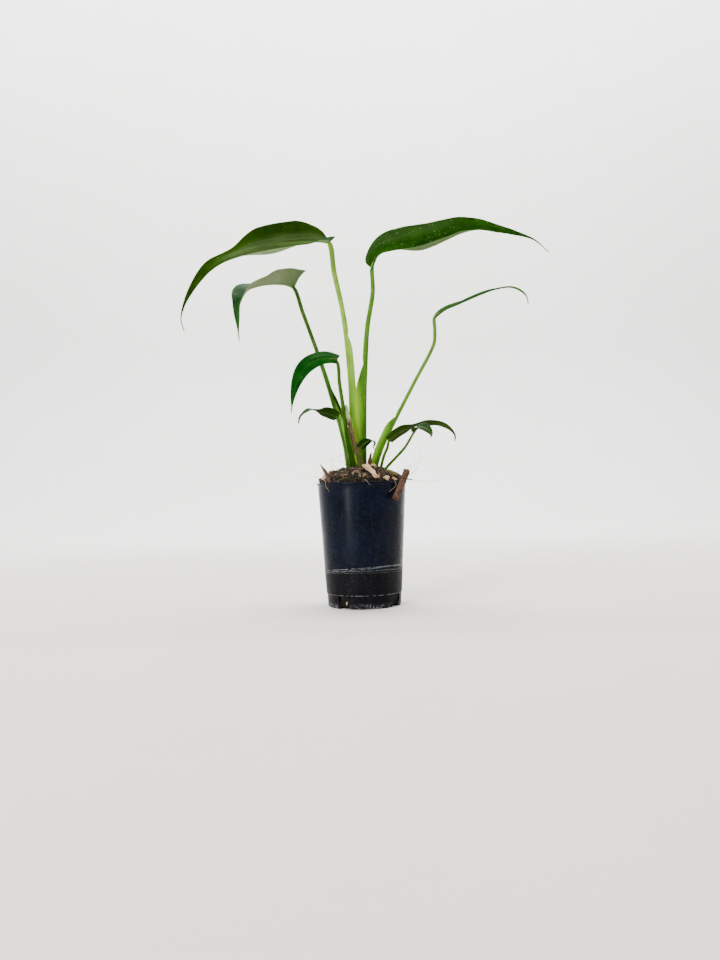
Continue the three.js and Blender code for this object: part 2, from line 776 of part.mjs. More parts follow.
const STRIPS = [
  {
    name: 'dried_sheath_left',
    finish: 'driedSheath',
    route: [
      [1, -8, 102], [-1.5, -8, 113], [-3.5, -8, 120.5], [-6, -8, 129], [-8, -8, 139], [-10.5, -7, 155],
    ],
    halfWidths: [2.4, 1.8, 1.3, 1.2, 0.8],
    thickness: 0.7,
    bow: 0.8,
    open: [0.3, -1, 0],
    steps: 9,
  },
  {
    name: 'dried_sheath_right',
    finish: 'driedSheath',
    route: [[6.5, -6.5, 101], [7, -7, 112], [8, -7.5, 117.5]],
    halfWidths: [1.9, 1.6, 0.8],
    thickness: 0.8,
    bow: 0.9,
    open: [-0.3, -1, 0],
    steps: 5,
  },
];

const RODS = [
  {
    name: 'surface_root',
    finish: 'surfaceRoot',
    route: [[16, -14, 100], [20, -16, 103], [25, -18, 101], [28.5, -20, 99]],
    radii: [1.2, 1.7, 2.0, 1.9],
    open: [0, 0, 1],
    steps: 6,
    sides: 7,
  },
  {
    name: 'bark_splinter',
    finish: 'bark',
    route: [[-23, -20, 94], [-25.5, -19.5, 100], [-31.5, -18, 110]],
    radii: [1.8, 1.5, 0.35],
    open: [1, 0, 0],
    steps: 6,
    sides: 6,
  },
  {
    name: 'thin_twig',
    finish: 'bark',
    route: [[24, -6, 97], [31, -9, 97.2], [39, -11, 95.9]],
    radii: [0.7, 0.6, 0.5],
    open: [0, 0, 1],
    steps: 4,
    sides: 6,
  },
];

// Bark curled to a tube: a thick-walled ring section with an open bore and a slit
const BARK_TUBE = {
  top: [34.5, -16.5, 102.8],
  bottom: [24.7, -29.2, 82],
  radius: 2.4,
  bore: 1.3,
  slit: 1.0,
  sides: 14,
  steps: 6,
};

function barkTubeGeometry(grow = 0) {
  const top = new THREE.Vector3(...BARK_TUBE.top);
  const bottom = new THREE.Vector3(...BARK_TUBE.bottom);
  const { radius, bore, sides, steps } = BARK_TUBE;
  const middle = top.clone().lerp(bottom, 0.5).add(new THREE.Vector3(0.3, -0.2, 0.2));
  const curve = new THREE.CatmullRomCurve3([bottom, middle, top]);
  const open = new THREE.Vector3(0, -1, 0.2);
  if (grow > 0) return sweep(curve, steps, open, () => roundOutline(radius, sides), grow);
  const slitAngle = BARK_TUBE.slit / radius;
  const arc = (reach) => Array.from({ length: sides + 1 }, (_, k) => {
    const angle = -Math.PI / 2 + slitAngle / 2 + (k / sides) * (2 * Math.PI - slitAngle);
    return new THREE.Vector2(reach * Math.cos(angle), reach * Math.sin(angle));
  });
  const outline = [...arc(radius), ...arc(bore).reverse()];
  return sweep(curve, steps, open, () => outline);
}

// Chips: uneven six-sided flakes, half bedded in the heap
const CHIPS = [
  { name: 'chip_long', at: [5.5, -19.5], size: [12, 3.8, 2.4], yaw: -55, tilt: 36, lift: 0.8 },
  { name: 'chip_pink', at: [-4, -24], size: [5.5, 4.2, 1.8], yaw: 15, tilt: 22, lift: 0.5 },
  { name: 'chip_orange', at: [12, -28.5], size: [4.6, 3.2, 2.0], yaw: 10, tilt: 18, lift: 0.7 },
  { name: 'chip_pale', at: [17, -25.5], size: [5.4, 3.4, 2.2], yaw: 20, tilt: 22, lift: 0.7 },
  { name: 'chip_left', at: [-27.5, -13], size: [4.8, 3.0, 1.8], yaw: 40, tilt: 20, lift: 0.6 },
  { name: 'chip_back_left', at: [-15, 19], size: [7.0, 4.0, 2.0], yaw: 70, tilt: -24, lift: 0.6 },
  { name: 'chip_back', at: [6, 24], size: [8.0, 4.4, 2.2], yaw: 15, tilt: -20, lift: 0.6 },
  { name: 'chip_back_right', at: [22, 14], size: [6.0, 3.6, 2.0], yaw: -50, tilt: -16, lift: 0.6 },
  { name: 'chip_side_left', at: [-23, 2], size: [6.0, 4.0, 2.0], yaw: 90, tilt: -10, lift: 0.5 },
];

function chipGeometry(chip, index, grow = 0) {
  const random = seededRandom(101 + index);
  const [length, width, thickness] = chip.size;
  const outline = Array.from({ length: 6 }, (_, k) => {
    const angle = (Math.PI / 3) * k;
    const reach = 0.44 + 0.12 * random();
    return new THREE.Vector2(length * reach * Math.cos(angle), width * reach * Math.sin(angle));
  });
  const shape = new THREE.Shape(grownOutline(outline, grow));
  const [x, y] = chip.at;
  return new THREE.ExtrudeGeometry(shape, { depth: thickness + 2 * grow, bevelEnabled: false, steps: 1 })
    .translate(0, 0, -thickness / 2 - grow)
    .rotateZ(degrees(chip.yaw))
    .rotateX(degrees(chip.tilt))
    .translate(x, y, soilHeight(x, y) + chip.lift);
}

// Assembly

addNode('pot', potGeometry(), 'pot');

const crown = crownSolid();
const crownRoom = crownSolid(CLEARANCE);
let soil = wasm.Manifold.union([heapSolid(), ...crumbSolids()]).subtract(crownRoom);

for (const leaf of LEAVES) {
  const blade = bladeGeometry(leaf);
  const stalk = solidOf(stalkGeometry(leaf))
    .subtract(solidOf(bladeGeometry(leaf, CLEARANCE)))
    .subtract(crownRoom);
  addNode(`stalk_${leaf.name}`, geometryOf(stalk), 'stalk');
  addNode(`blade_${leaf.name}`, blade, 'blade');
  soil = soil.subtract(solidOf(stalkGeometry(leaf, CLEARANCE)));
}

for (const strip of STRIPS) {
  addNode(strip.name, stripGeometry(strip), strip.finish);
  soil = soil.subtract(solidOf(stripGeometry(strip, CLEARANCE)));
}
for (const rod of RODS) {
  addNode(rod.name, rodGeometry(rod), rod.finish);
  soil = soil.subtract(solidOf(rodGeometry(rod, CLEARANCE)));
}
addNode('bark_tube', barkTubeGeometry(), 'bark');
soil = soil.subtract(solidOf(barkTubeGeometry(CLEARANCE)));
CHIPS.forEach((chip, index) => {
  addNode(chip.name, chipGeometry(chip, index), 'chip');
  soil = soil.subtract(solidOf(chipGeometry(chip, index, CLEARANCE)));
});

addNode('crown_and_roots', geometryOf(crown), 'root');
addNode('soil', geometryOf(soil), 'soil');

export default plant;
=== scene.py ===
"""Dresses a young flame-leaved monstera in its small nursery pot for rendering.

Lengths in this file are millimetres in the part's own frame, +Z up, with the origin at
the centre of the pot's underside. Meshes are turned to metres where they are made.

The leaves follow midribs, folds and rolls close to those of the solids behind
them, on much finer grids, and get veins, thin margins and smooth stalks. Soil
grains, bark, moss, roots and hairs are scattered by seeded rules.
"""

import logging
import math
from collections.abc import Callable, Mapping, Sequence
from dataclasses import dataclass, field
from enum import Enum

import bmesh
import bpy
import numpy as np
from mathutils import Matrix, Vector


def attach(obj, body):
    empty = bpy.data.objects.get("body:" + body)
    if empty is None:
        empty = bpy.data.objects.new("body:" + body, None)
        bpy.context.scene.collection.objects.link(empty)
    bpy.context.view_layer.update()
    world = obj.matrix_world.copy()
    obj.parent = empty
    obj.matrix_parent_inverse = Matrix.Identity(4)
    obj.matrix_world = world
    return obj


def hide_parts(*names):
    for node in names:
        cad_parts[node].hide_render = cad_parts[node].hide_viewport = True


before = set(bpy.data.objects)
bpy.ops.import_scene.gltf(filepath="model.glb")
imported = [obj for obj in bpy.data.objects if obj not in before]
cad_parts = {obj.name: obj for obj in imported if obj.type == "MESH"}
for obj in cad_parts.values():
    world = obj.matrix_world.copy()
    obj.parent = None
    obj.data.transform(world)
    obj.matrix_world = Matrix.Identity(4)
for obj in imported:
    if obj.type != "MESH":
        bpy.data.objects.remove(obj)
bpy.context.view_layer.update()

LOG = logging.getLogger("monstera")

MM = 0.001
BODY = "root"

Array = np.ndarray
Random = np.random.Generator
Point = tuple[float, float, float]
Rgb = tuple[int, int, int]
Object = bpy.types.Object
Material = bpy.types.Material
Tree = bpy.types.NodeTree
Socket = bpy.types.NodeSocket
Sockets = Mapping[str, Socket]
Input = Socket | float | tuple


class Slot(Enum):
    """Material slots of the part's record."""

    POT = "pot"
    SOIL = "soil"
    ROOTS = "crown_and_roots"
    BLADE = "leaf_blade"
    STALK = "leaf_stalk"
    SHEATH = "dried_sheath"
    SURFACE_ROOT = "surface_root"
    BARK = "bark"
    CHIP = "wood_chip"


# Numbers and noise

LATTICE_SIDE = 48


def eased(low: float, high: float, x: Array) -> Array:
    """Ramp from 0 at `low` to 1 at `high`, with 3t² - 2t³ between them.

    Args:
        low: Where the ramp starts.
        high: Where the ramp ends.
        x: Places to read.

    Returns:
        The ramp's value at each place.
    """
    t = np.clip((np.asarray(x, float) - low) / (high - low), 0, 1)
    return t * t * (3 - 2 * t)


def along(stations: Sequence[float], s: Array) -> Array:
    """Value at s of evenly spaced stations, eased from each to the next.

    Args:
        stations: Values at equal steps from s = 0 to s = 1.
        s: Places from 0 to 1.

    Returns:
        The value at each place.
    """
    values = np.asarray(stations, float)
    place = np.clip(s, 0, 1) * (len(values) - 1)
    index = np.minimum(place.astype(int), len(values) - 2)
    ease = eased(0, 1, place - index)
    return values[index] * (1 - ease) + values[index + 1] * ease


def unit(vectors: Array) -> Array:
    """Vectors divided by their length.

    Args:
        vectors: Array whose last axis holds x, y, z.

    Returns:
        Vectors of length 1.
    """
    return vectors / np.maximum(np.linalg.norm(vectors, axis=-1, keepdims=True), 1e-12)


def lattice_noise(points: Array, cell: float, seed: int) -> Array:
    """Value noise: random numbers on a cubic lattice, eased between the eight corners.

    Args:
        points: Places, last axis x, y, z.
        cell: Lattice spacing.
        seed: Seed of the random numbers.

    Returns:
        Noise from -1 to 1 at each place.
    """
    side = LATTICE_SIDE
    table = np.random.default_rng(seed).uniform(-1, 1, (side, side, side))
    place = np.asarray(points, float) / cell
    corner = np.floor(place).astype(int)
    part = place - corner
    part = part * part * (3 - 2 * part)
    total = np.zeros(place.shape[:-1])
    for step in np.ndindex(2, 2, 2):
        weight = np.prod(np.where(step, part, 1 - part), axis=-1)
        index = (corner + step) % side
        total += weight * table[index[..., 0], index[..., 1], index[..., 2]]
    return total


def layered_noise(points: Array, cell: float, seed: int, layers: int = 3) -> Array:
    """Sum of lattice noises, each at half the cell and half the height of the last.

    Args:
        points: Places, last axis x, y, z.
        cell: Lattice spacing of the first layer.
        seed: Seed of the first layer.
        layers: Number of layers.

    Returns:
        Noise of about -1 to 1 at each place.
    """
    parts = [lattice_noise(points, cell / 2**k, seed + k) / 2**k for k in range(layers)]
    return np.sum(parts, axis=0)


def seeded_draws(seed: int, count: int) -> list[float]:
    """Numbers from 0 to 1 by 32-bit mixing, the same ones that shaped the soil solid.

    Args:
        seed: Start of the sequence.
        count: How many numbers to draw.

    Returns:
        The numbers in order.
    """
    full = 0xFFFFFFFF
    state = seed
    draws = []
    for _ in range(count):
        state = (state + 0x6D2B79F5) & full
        mixed = ((state ^ (state >> 15)) * (state | 1)) & full
        mixed ^= (mixed + (mixed ^ (mixed >> 7)) * (mixed | 61)) & full
        draws.append((mixed ^ (mixed >> 14)) / 2**32)
    return draws


# Curves and surfaces


@dataclass(frozen=True)
class Route:
    """A smooth curve through given points: a centripetal Catmull-Rom spline."""

    points: tuple[Point, ...]
    samples: int = 400

    def _cubics(self) -> Array:
        """Cubic of each span as rows of coefficients, knots spaced by the square root of distance."""
        p = np.asarray(self.points, float)
        padded = np.vstack([2 * p[0] - p[1], p, 2 * p[-1] - p[-2]])
        gaps = np.sum(np.diff(padded, axis=0) ** 2, axis=1)[:, None] ** 0.25
        p0, p1, p2, p3 = padded[:-3], padded[1:-2], padded[2:-1], padded[3:]
        d0, d1, d2 = gaps[:-2], gaps[1:-1], gaps[2:]
        leave = d1 * ((p1 - p0) / d0 - (p2 - p0) / (d0 + d1) + (p2 - p1) / d1)
        arrive = d1 * ((p2 - p1) / d1 - (p3 - p1) / (d1 + d2) + (p3 - p2) / d2)
        third = 3 * (p2 - p1) - 2 * leave - arrive
        fourth = 2 * (p1 - p2) + leave + arrive
        return np.stack([p1, leave, third, fourth], axis=1)

    def _read(self, t: Array) -> tuple[Array, Array]:
        """Points and directions at the curve's own parameter, span number plus part."""
        cubics = self._cubics()
        place = np.clip(t, 0, 1) * len(cubics)
        index = np.minimum(place.astype(int), len(cubics) - 1)
        x = (place - index)[..., None]
        c = cubics[index]
        points = c[..., 0, :] + x * (c[..., 1, :] + x * (c[..., 2, :] + x * c[..., 3, :]))
        slopes = c[..., 1, :] + x * (2 * c[..., 2, :] + 3 * x * c[..., 3, :])
        return points, unit(slopes)

    def _lengths(self) -> tuple[Array, Array]:
        """Parameters and the curve's length up to each of them."""
        t = np.linspace(0, 1, self.samples + 1)
        steps = np.linalg.norm(np.diff(self._read(t)[0], axis=0), axis=1)
        return t, np.concatenate([[0], np.cumsum(steps)])

    def length(self) -> float:
        """Length of the curve."""
        return float(self._lengths()[1][-1])

    def at(self, u: Array) -> tuple[Array, Array]:
        """Points and unit directions at fractions of the length. Past the ends it runs on straight.

        Args:
            u: Fractions of the length, 0 at the first point.

        Returns:
            Points and directions, last axis x, y, z.
        """
        t, lengths = self._lengths()
        on = np.clip(u, 0, 1)
        points, directions = self._read(np.interp(on * lengths[-1], lengths, t))
        past = (u - on) * lengths[-1]
        return points + past[..., None] * directions, directions


def swept(route: Route, u: Array, section: Array, open_axis: Point) -> Array:
    """Carries a section along a route.

    At each u the section's first number runs along side = up × direction, and its second
    along up, which is `open_axis` made square to the route.

    Args:
        route: The path.
        u: Fractions of the route's length, one for each row.
        section: Section points, rows × points × 2.
        open_axis: The way that the section's second axis faces.

    Returns:
        Surface points, rows × points × 3.
    """
    centre, direction = route.at(u)
    axis = np.asarray(open_axis, float)
    up = unit(axis - (direction @ axis)[:, None] * direction)
    side = np.cross(up, direction)
    return (
        centre[:, None, :]
        + section[..., 0:1] * side[:, None, :]
        + section[..., 1:2] * up[:, None, :]
    )


def ring_faces(rows: int, columns: int, start: int = 0) -> Array:
    """Quads of a tube whose rows are closed rings, joined row to row.

    Args:
        rows: Number of rings.
        columns: Points in a ring.
        start: Number of the first point.

    Returns:
        Quads as an array of point numbers, facing out where rings turn to the left.
    """
    i, j = np.meshgrid(np.arange(rows - 1), np.arange(columns), indexing="ij")
    a = start + i * columns + j
    b = start + i * columns + (j + 1) % columns
    return np.stack([a, b, b + columns, a + columns], axis=-1).reshape(-1, 4)


def band_faces(rows: int, columns: int) -> Array:
    """Quads of a thin band whose rings run out along one face and back along the other.

    Each end is closed by quads between the corners that lie opposite each other.

    Args:
        rows: Number of rings.
        columns: Points in a ring.

    Returns:
        Quads as an array of point numbers.
    """
    near = np.arange(columns // 2 - 1)
    cap = np.stack([near, columns - 1 - near, columns - 2 - near, near + 1], axis=-1)
    return np.concatenate([ring_faces(rows, columns), cap, (cap + (rows - 1) * columns)[:, ::-1]])


def sheet_faces(rows: int, columns: int, start: int = 0) -> Array:
    """Quads of an open grid.

    Args:
        rows: Number of rows.
        columns: Points in a row.
        start: Number of the first point.

    Returns:
        Quads as an array of point numbers.
    """
    i, j = np.meshgrid(np.arange(rows - 1), np.arange(columns - 1), indexing="ij")
    a = start + i * columns + j
    return np.stack([a, a + 1, a + columns + 1, a + columns], axis=-1).reshape(-1, 4)


def make_object(
    name: str,
    points: Array,
    faces: Sequence[Sequence[int]] | Array,
    values: Mapping[str, Array] | None = None,
    uv: Array | None = None,
    outward: bool = True,
) -> Object:
    """Puts points and faces into a new smooth-shaded object at the origin.

    Args:
        name: The piece's name.
        points: Points in millimetres, any shape whose last axis is x, y, z.
        faces: Point numbers of each face.
        values: Named numbers, one for each point, for the material to read.
        uv: Surface coordinates, one pair for each point.
        outward: Whether face directions are worked out anew, for closed shells.

    Returns:
        The object, linked to the scene.
    """
    mesh = bpy.data.meshes.new(name)
    face_list = faces.tolist() if isinstance(faces, np.ndarray) else list(faces)
    mesh.from_pydata((np.asarray(points, float).reshape(-1, 3) * MM).tolist(), [], face_list)
    for key, numbers in (values or {}).items():
        attribute = mesh.attributes.new(key, "FLOAT", "POINT")
        attribute.data.foreach_set("value", np.asarray(numbers, np.float32).ravel())
    if uv is not None:
        layer = mesh.uv_layers.new(name="UVMap")
        corner = np.empty(len(mesh.loops), dtype=np.int32)
        mesh.loops.foreach_get("vertex_index", corner)
        layer.uv.foreach_set("vector", np.asarray(uv, np.float32).reshape(-1, 2)[corner].ravel())
    mesh.polygons.foreach_set("use_smooth", np.ones(len(mesh.polygons), dtype=bool))
    if outward:
        shell = bmesh.new()
        shell.from_mesh(mesh)
        bmesh.ops.recalc_face_normals(shell, faces=shell.faces)
        shell.to_mesh(mesh)
        shell.free()
    mesh.update()
    made = bpy.data.objects.new(name, mesh)
    bpy.context.scene.collection.objects.link(made)
    return made


def dress(
    piece: Object,
    material: Material,
    slot: Slot,
    replaces: Sequence[str] = (),
) -> None:
    """Gives a piece its material and ties it to the frame.

    Args:
        piece: The new object.
        material: Its finish.
        slot: The record's slot that the finish belongs to.
        replaces: Nodes that the piece stands for.
    """
    piece.data.materials.append(material)
    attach(piece, BODY)
    if replaces:
        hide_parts(*replaces)
    LOG.info("%s: %d faces in slot %s", piece.name, len(piece.data.polygons), slot.value)


def tubes(
    name: str, paths: Array, radii: Array, sides: int, values: Mapping[str, Array] | None = None
) -> Object:
    """Round tubes along many paths, as one mesh, each closed to a point at both ends.

    A ring's corners lie at centre + radius × (cos a × first + sin a × second), where
    first and second are square to the path.

    Args:
        name: The piece's name.
        paths: Points of each path, paths × points × 3.
        radii: Radius at each path point, paths × points.
        sides: Corners of a ring.
        values: Named numbers, one for each path.

    Returns:
        The object.
    """
    count, steps, _ = paths.shape
    direction = unit(np.gradient(paths, axis=1))
    mean = unit(direction.mean(axis=1))
    helper = np.where(np.abs(mean[:, 2:3]) > 0.8, [[1.0, 0.0, 0.0]], [[0.0, 0.0, 1.0]])
    first = unit(np.cross(direction, helper[:, None, :]))
    second = np.cross(direction, first)
    angle = 2 * np.pi * np.arange(sides) / sides
    reach = radii * np.concatenate([[0.05], np.ones(steps - 2), [0.05]])
    points = paths[:, :, None, :] + reach[:, :, None, None] * (
        np.cos(angle)[:, None] * first[:, :, None, :] + np.sin(angle)[:, None] * second[:, :, None, :]
    )
    one = ring_faces(steps, sides)
    caps = [np.arange(sides)[::-1], (steps - 1) * sides + np.arange(sides)]
    offsets = np.arange(count) * steps * sides
    quads = (one[None] + offsets[:, None, None]).reshape(-1, 4).tolist()
    ends = (np.stack(caps)[None] + offsets[:, None, None]).reshape(-1, sides).tolist()
    spread = {key: np.repeat(numbers, steps * sides) for key, numbers in (values or {}).items()}
    return make_object(name, points, quads + ends, spread)


def turned(rng: Random, count: int) -> Array:
    """Random turns as matrices, from unit quaternions with normal components.

    Args:
        rng: Random source.
        count: How many turns.

    Returns:
        Matrices, count × 3 × 3.
    """
    w, x, y, z = unit(rng.normal(size=(count, 4))).T
    return np.stack(
        [
            np.stack([1 - 2 * (y * y + z * z), 2 * (x * y - w * z), 2 * (x * z + w * y)], axis=-1),
            np.stack([2 * (x * y + w * z), 1 - 2 * (x * x + z * z), 2 * (y * z - w * x)], axis=-1),
            np.stack([2 * (x * z - w * y), 2 * (y * z + w * x), 1 - 2 * (x * x + y * y)], axis=-1),
        ],
        axis=1,
    )


def ball(subdivisions: int) -> tuple[Array, Array]:
    """Points and triangles of a unit ball of even triangles."""
    shell = bmesh.new()
    bmesh.ops.create_icosphere(shell, subdivisions=subdivisions, radius=1.0)
    points = np.array([v.co[:] for v in shell.verts])
    faces = np.array([[v.index for v in f.verts] for f in shell.faces])
    shell.free()
    return points, faces


def scattered(
    name: str,
    centres: Array,
    sizes: Array,
    rng: Random,
    subdivisions: int = 1,
    roughness: float = 0.25,
) -> Object:
    """Many uneven grains as one mesh: turned and stretched balls with a dented surface.

    Args:
        name: The piece's name.
        centres: Centre of each grain, grains × 3.
        sizes: Half sizes of each grain, grains × 3.
        rng: Random source.
        subdivisions: Fineness of the ball.
        roughness: Depth of the dents, as a part of the size.

    Returns:
        The object, with a random number from 0 to 1 for each grain as `shade`.
    """
    base, triangles = ball(subdivisions)
    count = len(centres)
    dents = 1 + roughness * rng.uniform(-1, 1, (count, len(base), 1))
    local = base[None] * dents * sizes[:, None, :]
    points = np.einsum("nij,nvj->nvi", turned(rng, count), local) + centres[:, None, :]
    offsets = np.arange(count) * len(base)
    faces = (triangles[None] + offsets[:, None, None]).reshape(-1, 3)
    shade = np.repeat(rng.uniform(0, 1, count), len(base))
    return make_object(name, points, faces, {"shade": shade}, outward=False)


# Leaves

SHEATH_POINTS = 36
STALK_FOOT = 90.0
EAR_ROUNDING = 0.02
TAPER_PEAK = 1.066
LEAST_HALF_WIDTH = 0.15
LARGE_HALF_WIDTH = 19
SHEATH_START = (0.04, 0.14)


@dataclass(frozen=True)
class Sheath:
    """The thin wings along the lower part of a stalk."""

    wing: float
    end: float
    fade: float = 0.12


@dataclass(frozen=True)
class StalkShape:
    """A leaf stalk from the buried crown to the blade."""

    foot: tuple[float, float]
    route: tuple[Point, ...]
    radii: tuple[float, ...]
    open: Point
    sheath: Sheath | None = None


@dataclass(frozen=True)
class HalfShape:
    """Angles, in degrees, at which one half of a blade leaves the midrib and then bends."""

    fold: tuple[float, ...] = (10, 10, 8)
    curl: tuple[float, ...] = (0, 0)


@dataclass(frozen=True)
class BladeShape:
    """A blade's midrib, outline and bends. Lists run from the stalk to the tip."""

    midrib: tuple[Point, ...]
    half_width: float
    taper: float
    base: float
    lobe: float
    roll: tuple[float, ...]
    left: HalfShape = HalfShape()
    right: HalfShape = HalfShape()
    wave: float = 0.5
    waves: float = 2
    lobe_left: float | None = None
    lobe_right: float | None = None
    rise_left: float = 0.0
    rise_right: float = 0.0
    lobe_power: float = 1.6
    tip: float = 0.6
    flare: float = 0.0
    flare_place: float = 0.5
    flare_spread: float = 0.1
    ear_side: int = 0


@dataclass(frozen=True)
class Leaf:
    """One leaf: a stalk and a blade, each a closed mesh that stands for its solid."""

    name: str
    stalk: StalkShape
    blade: BladeShape

    rows_per_mm: float = 0.8
    vein_spacing: float = 5.2
    thickness: float = 0.5
    keel: float = 0.75
    lobe_span: float = 0.25
    shoulder_span: float = 0.13
    rounding: float = 0.022

    def half_width_at(self, s: Array, rounding: float) -> Array:
        """Half width: W (1 - s)^taper (1 + 3s) with round shoulders and a rounded base edge."""
        blade = self.blade
        taper = (1 - s) ** blade.taper * (1 + 3 * s) / TAPER_PEAK
        shoulder = np.sqrt(1 - (1 - np.minimum(1, s / self.shoulder_span)) ** 2)
        base = blade.base + (1 - blade.base) * shoulder
        edge = np.sqrt(1 - (1 - np.minimum(1, s / rounding)) ** 2)
        tip = blade.tip * (1 - s) ** 0.5 + 0.12
        least = tip * eased(0, 0.01, s) + LEAST_HALF_WIDTH
        return np.maximum(least, blade.half_width * taper * base * edge)

    def _frames(self, route: Route, place: Array, roll: Array) -> tuple[Array, Array, Array]:
        """Origin, right and normal of the section at each place, turned by roll about the midrib."""
        origin, tangent = route.at(place)
        ends = route.at(np.array([0.0, 1.0]))[0]
        heading = unit((ends[1] - ends[0]) * (1, 1, 0))
        level = np.array([heading[1], -heading[0], 0.0])
        across = unit(level - (tangent @ level)[..., None] * tangent)
        above = np.cross(across, tangent)
        cosine, sine = np.cos(roll)[..., None], np.sin(roll)[..., None]
        return origin, across * cosine + above * sine, above * cosine - across * sine

    def _half(self, route: Route, s: Array, q: Array, side: int) -> tuple[Array, Array]:
        """One half of the blade's middle surface.

        The section leaves the midrib at angle fold and turns to fold + curl q². Its
        sideways and upward reach are the running sums of width × cos and width × sin of
        that angle. Rows sweep back towards the stalk by lobe (1 - s / span)² q^power, and
        rise by the same rule, less in the rounded base edge. The right half may flare
        at one place by flare × exp(-((s - place) / spread)²).

        Args:
            route: The midrib.
            s: Places along the leaf.
            q: Places across the half, rising from 0 at the midrib to 1 at the margin.
            side: 1 for the right half, -1 for the left.

        Returns:
            Points, rows × columns × 3, and each one's distance from the midrib.
        """
        blade = self.blade
        shape = blade.right if side > 0 else blade.left
        flare = blade.flare * np.exp(-(((s - blade.flare_place) / blade.flare_spread) ** 2)) * (side > 0)
        rounding = EAR_ROUNDING if side == blade.ear_side else self.rounding
        width = (self.half_width_at(s, rounding) + flare)[:, None]
        fold = np.radians(along(shape.fold, s))[:, None]
        curl = np.radians(along(shape.curl, s))[:, None]
        middle = fold + curl * ((q[1:] + q[:-1]) / 2) ** 2
        step = width * np.diff(q)
        start = np.zeros((len(s), 1))
        lateral = np.hstack([start, np.cumsum(step * np.cos(middle), axis=1)])
        lift = np.hstack([start, np.cumsum(step * np.sin(middle), axis=1)])
        own_lobe = blade.lobe_right if side > 0 else blade.lobe_left
        lobe = blade.lobe if own_lobe is None else own_lobe
        rise = blade.rise_right if side > 0 else blade.rise_left
        edge = np.minimum(1, s / rounding)
        reach = ((1 - np.minimum(1, s / self.lobe_span)) ** 2 * edge)[:, None] * q**blade.lobe_power
        place = s[:, None] - lobe * reach
        roll = np.broadcast_to(np.radians(along(blade.roll, s))[:, None], place.shape)
        origin, right, normal = self._frames(route, place, roll)
        ripple = np.sin(2 * np.pi * (blade.waves * s + 0.25 * side))[:, None]
        wave = blade.wave * q**2 * ripple * width / blade.half_width
        height = lift + wave + rise * reach
        points = origin + side * lateral[..., None] * right + height[..., None] * normal
        return points, width * q

    def blade_surface(self) -> tuple[Array, Array, Array]:
        """Middle surface of the blade, with veins, as a grid from the left margin to the right.

        Side veins leave the midrib every `vein_spacing` and sweep forward. The sheet
        bulges a little between them: 0.5 - |sin| of the vein phase, less at the tip.

        Returns:
            Points, rows × columns × 3, s of each row and signed q of each column.
        """
        route = Route(self.blade.midrib)
        length = route.length()
        rows = int(np.clip(length * self.rows_per_mm, 48, 150))
        s = np.linspace(0, 1, rows) ** 1.25
        columns = 14 + int(1.1 * self.blade.half_width)
        q = np.linspace(0, 1, columns) ** 1.15
        left, _ = self._half(route, s, q, -1)
        right, reach = self._half(route, s, q, 1)
        grid = np.concatenate([left[:, :0:-1], right], axis=1)
        signed = np.concatenate([-q[:0:-1], q])
        reach = np.concatenate([reach[:, :0:-1], reach], axis=1)
        normal = surface_normals(grid)
        phase = (s[:, None] * length - 0.9 * reach) / self.vein_spacing
        bulge = 0.5 - np.abs(np.sin(np.pi * phase)) ** 0.5
        size = self.blade.half_width / LARGE_HALF_WIDTH
        calm = np.minimum(1, reach / 3) * (1 - np.abs(signed) ** 6) * (1 - s[:, None]) ** 0.5
        ripple = layered_noise(grid, 16, 3, 2)
        relief = -0.2 * size * bulge * calm + 0.35 * size * ripple * np.abs(signed) ** 1.5
        return grid + relief[..., None] * normal, s, signed

    def build_blade(self, material: Material) -> None:
        """Makes the blade as a closed sheet, thin at the margin, with a groove and a keel.

        The upper face is the middle surface plus half the thickness along its normal,
        less a groove over the midrib. The lower face is half the thickness below it,
        plus a keel that falls off as exp(-(x / keel width)²).

        Args:
            material: The leaf's finish.
        """
        grid, s, q = self.blade_surface()
        normal = surface_normals(grid)
        width = self.half_width_at(s, self.rounding)[:, None]
        x = width * np.abs(q)
        thin = np.sqrt(np.maximum(0, 1 - np.abs(q) ** 14)) * 0.85 + 0.15
        half = self.thickness / 2 * thin * (1 - 0.35 * s[:, None])
        keel_width = 0.45 + 0.04 * width
        keel = self.keel * (1 - 0.8 * s[:, None]) * np.exp(-((x / keel_width) ** 2))
        groove = 0.14 * (1 - 0.7 * s[:, None]) * np.exp(-((x / 0.5) ** 2))
        upper = grid + (half - groove)[..., None] * normal
        lower = grid - (half + keel)[..., None] * normal
        loop = np.concatenate([upper, lower[:, ::-1]], axis=1)
        rows, columns = upper.shape[:2]
        faces = band_faces(rows, 2 * columns)
        s_grid = np.broadcast_to(s[:, None], (rows, columns))
        q_grid = np.broadcast_to(q[None], (rows, columns))
        uv = np.stack([s_grid, q_grid * 0.5 + 0.5], axis=-1)
        uv = np.concatenate([uv, uv[:, ::-1]], axis=1)
        ones = np.ones((rows, columns))
        rib = np.exp(-((x / (0.5 + 0.03 * width)) ** 2))
        values = {
            "upper": np.concatenate([ones, 0 * ones], axis=1),
            "rib": np.concatenate([rib, rib[:, ::-1]], axis=1),
            "along": np.concatenate([s_grid, s_grid], axis=1),
            "across": np.concatenate([q_grid, q_grid[:, ::-1]], axis=1),
            "reach": np.concatenate([x, x[:, ::-1]], axis=1),
        }
        piece = make_object(f"leaf_blade_{self.name}", loop, faces, values, uv)
        dress(piece, material, Slot.BLADE, [f"blade_{self.name}"])

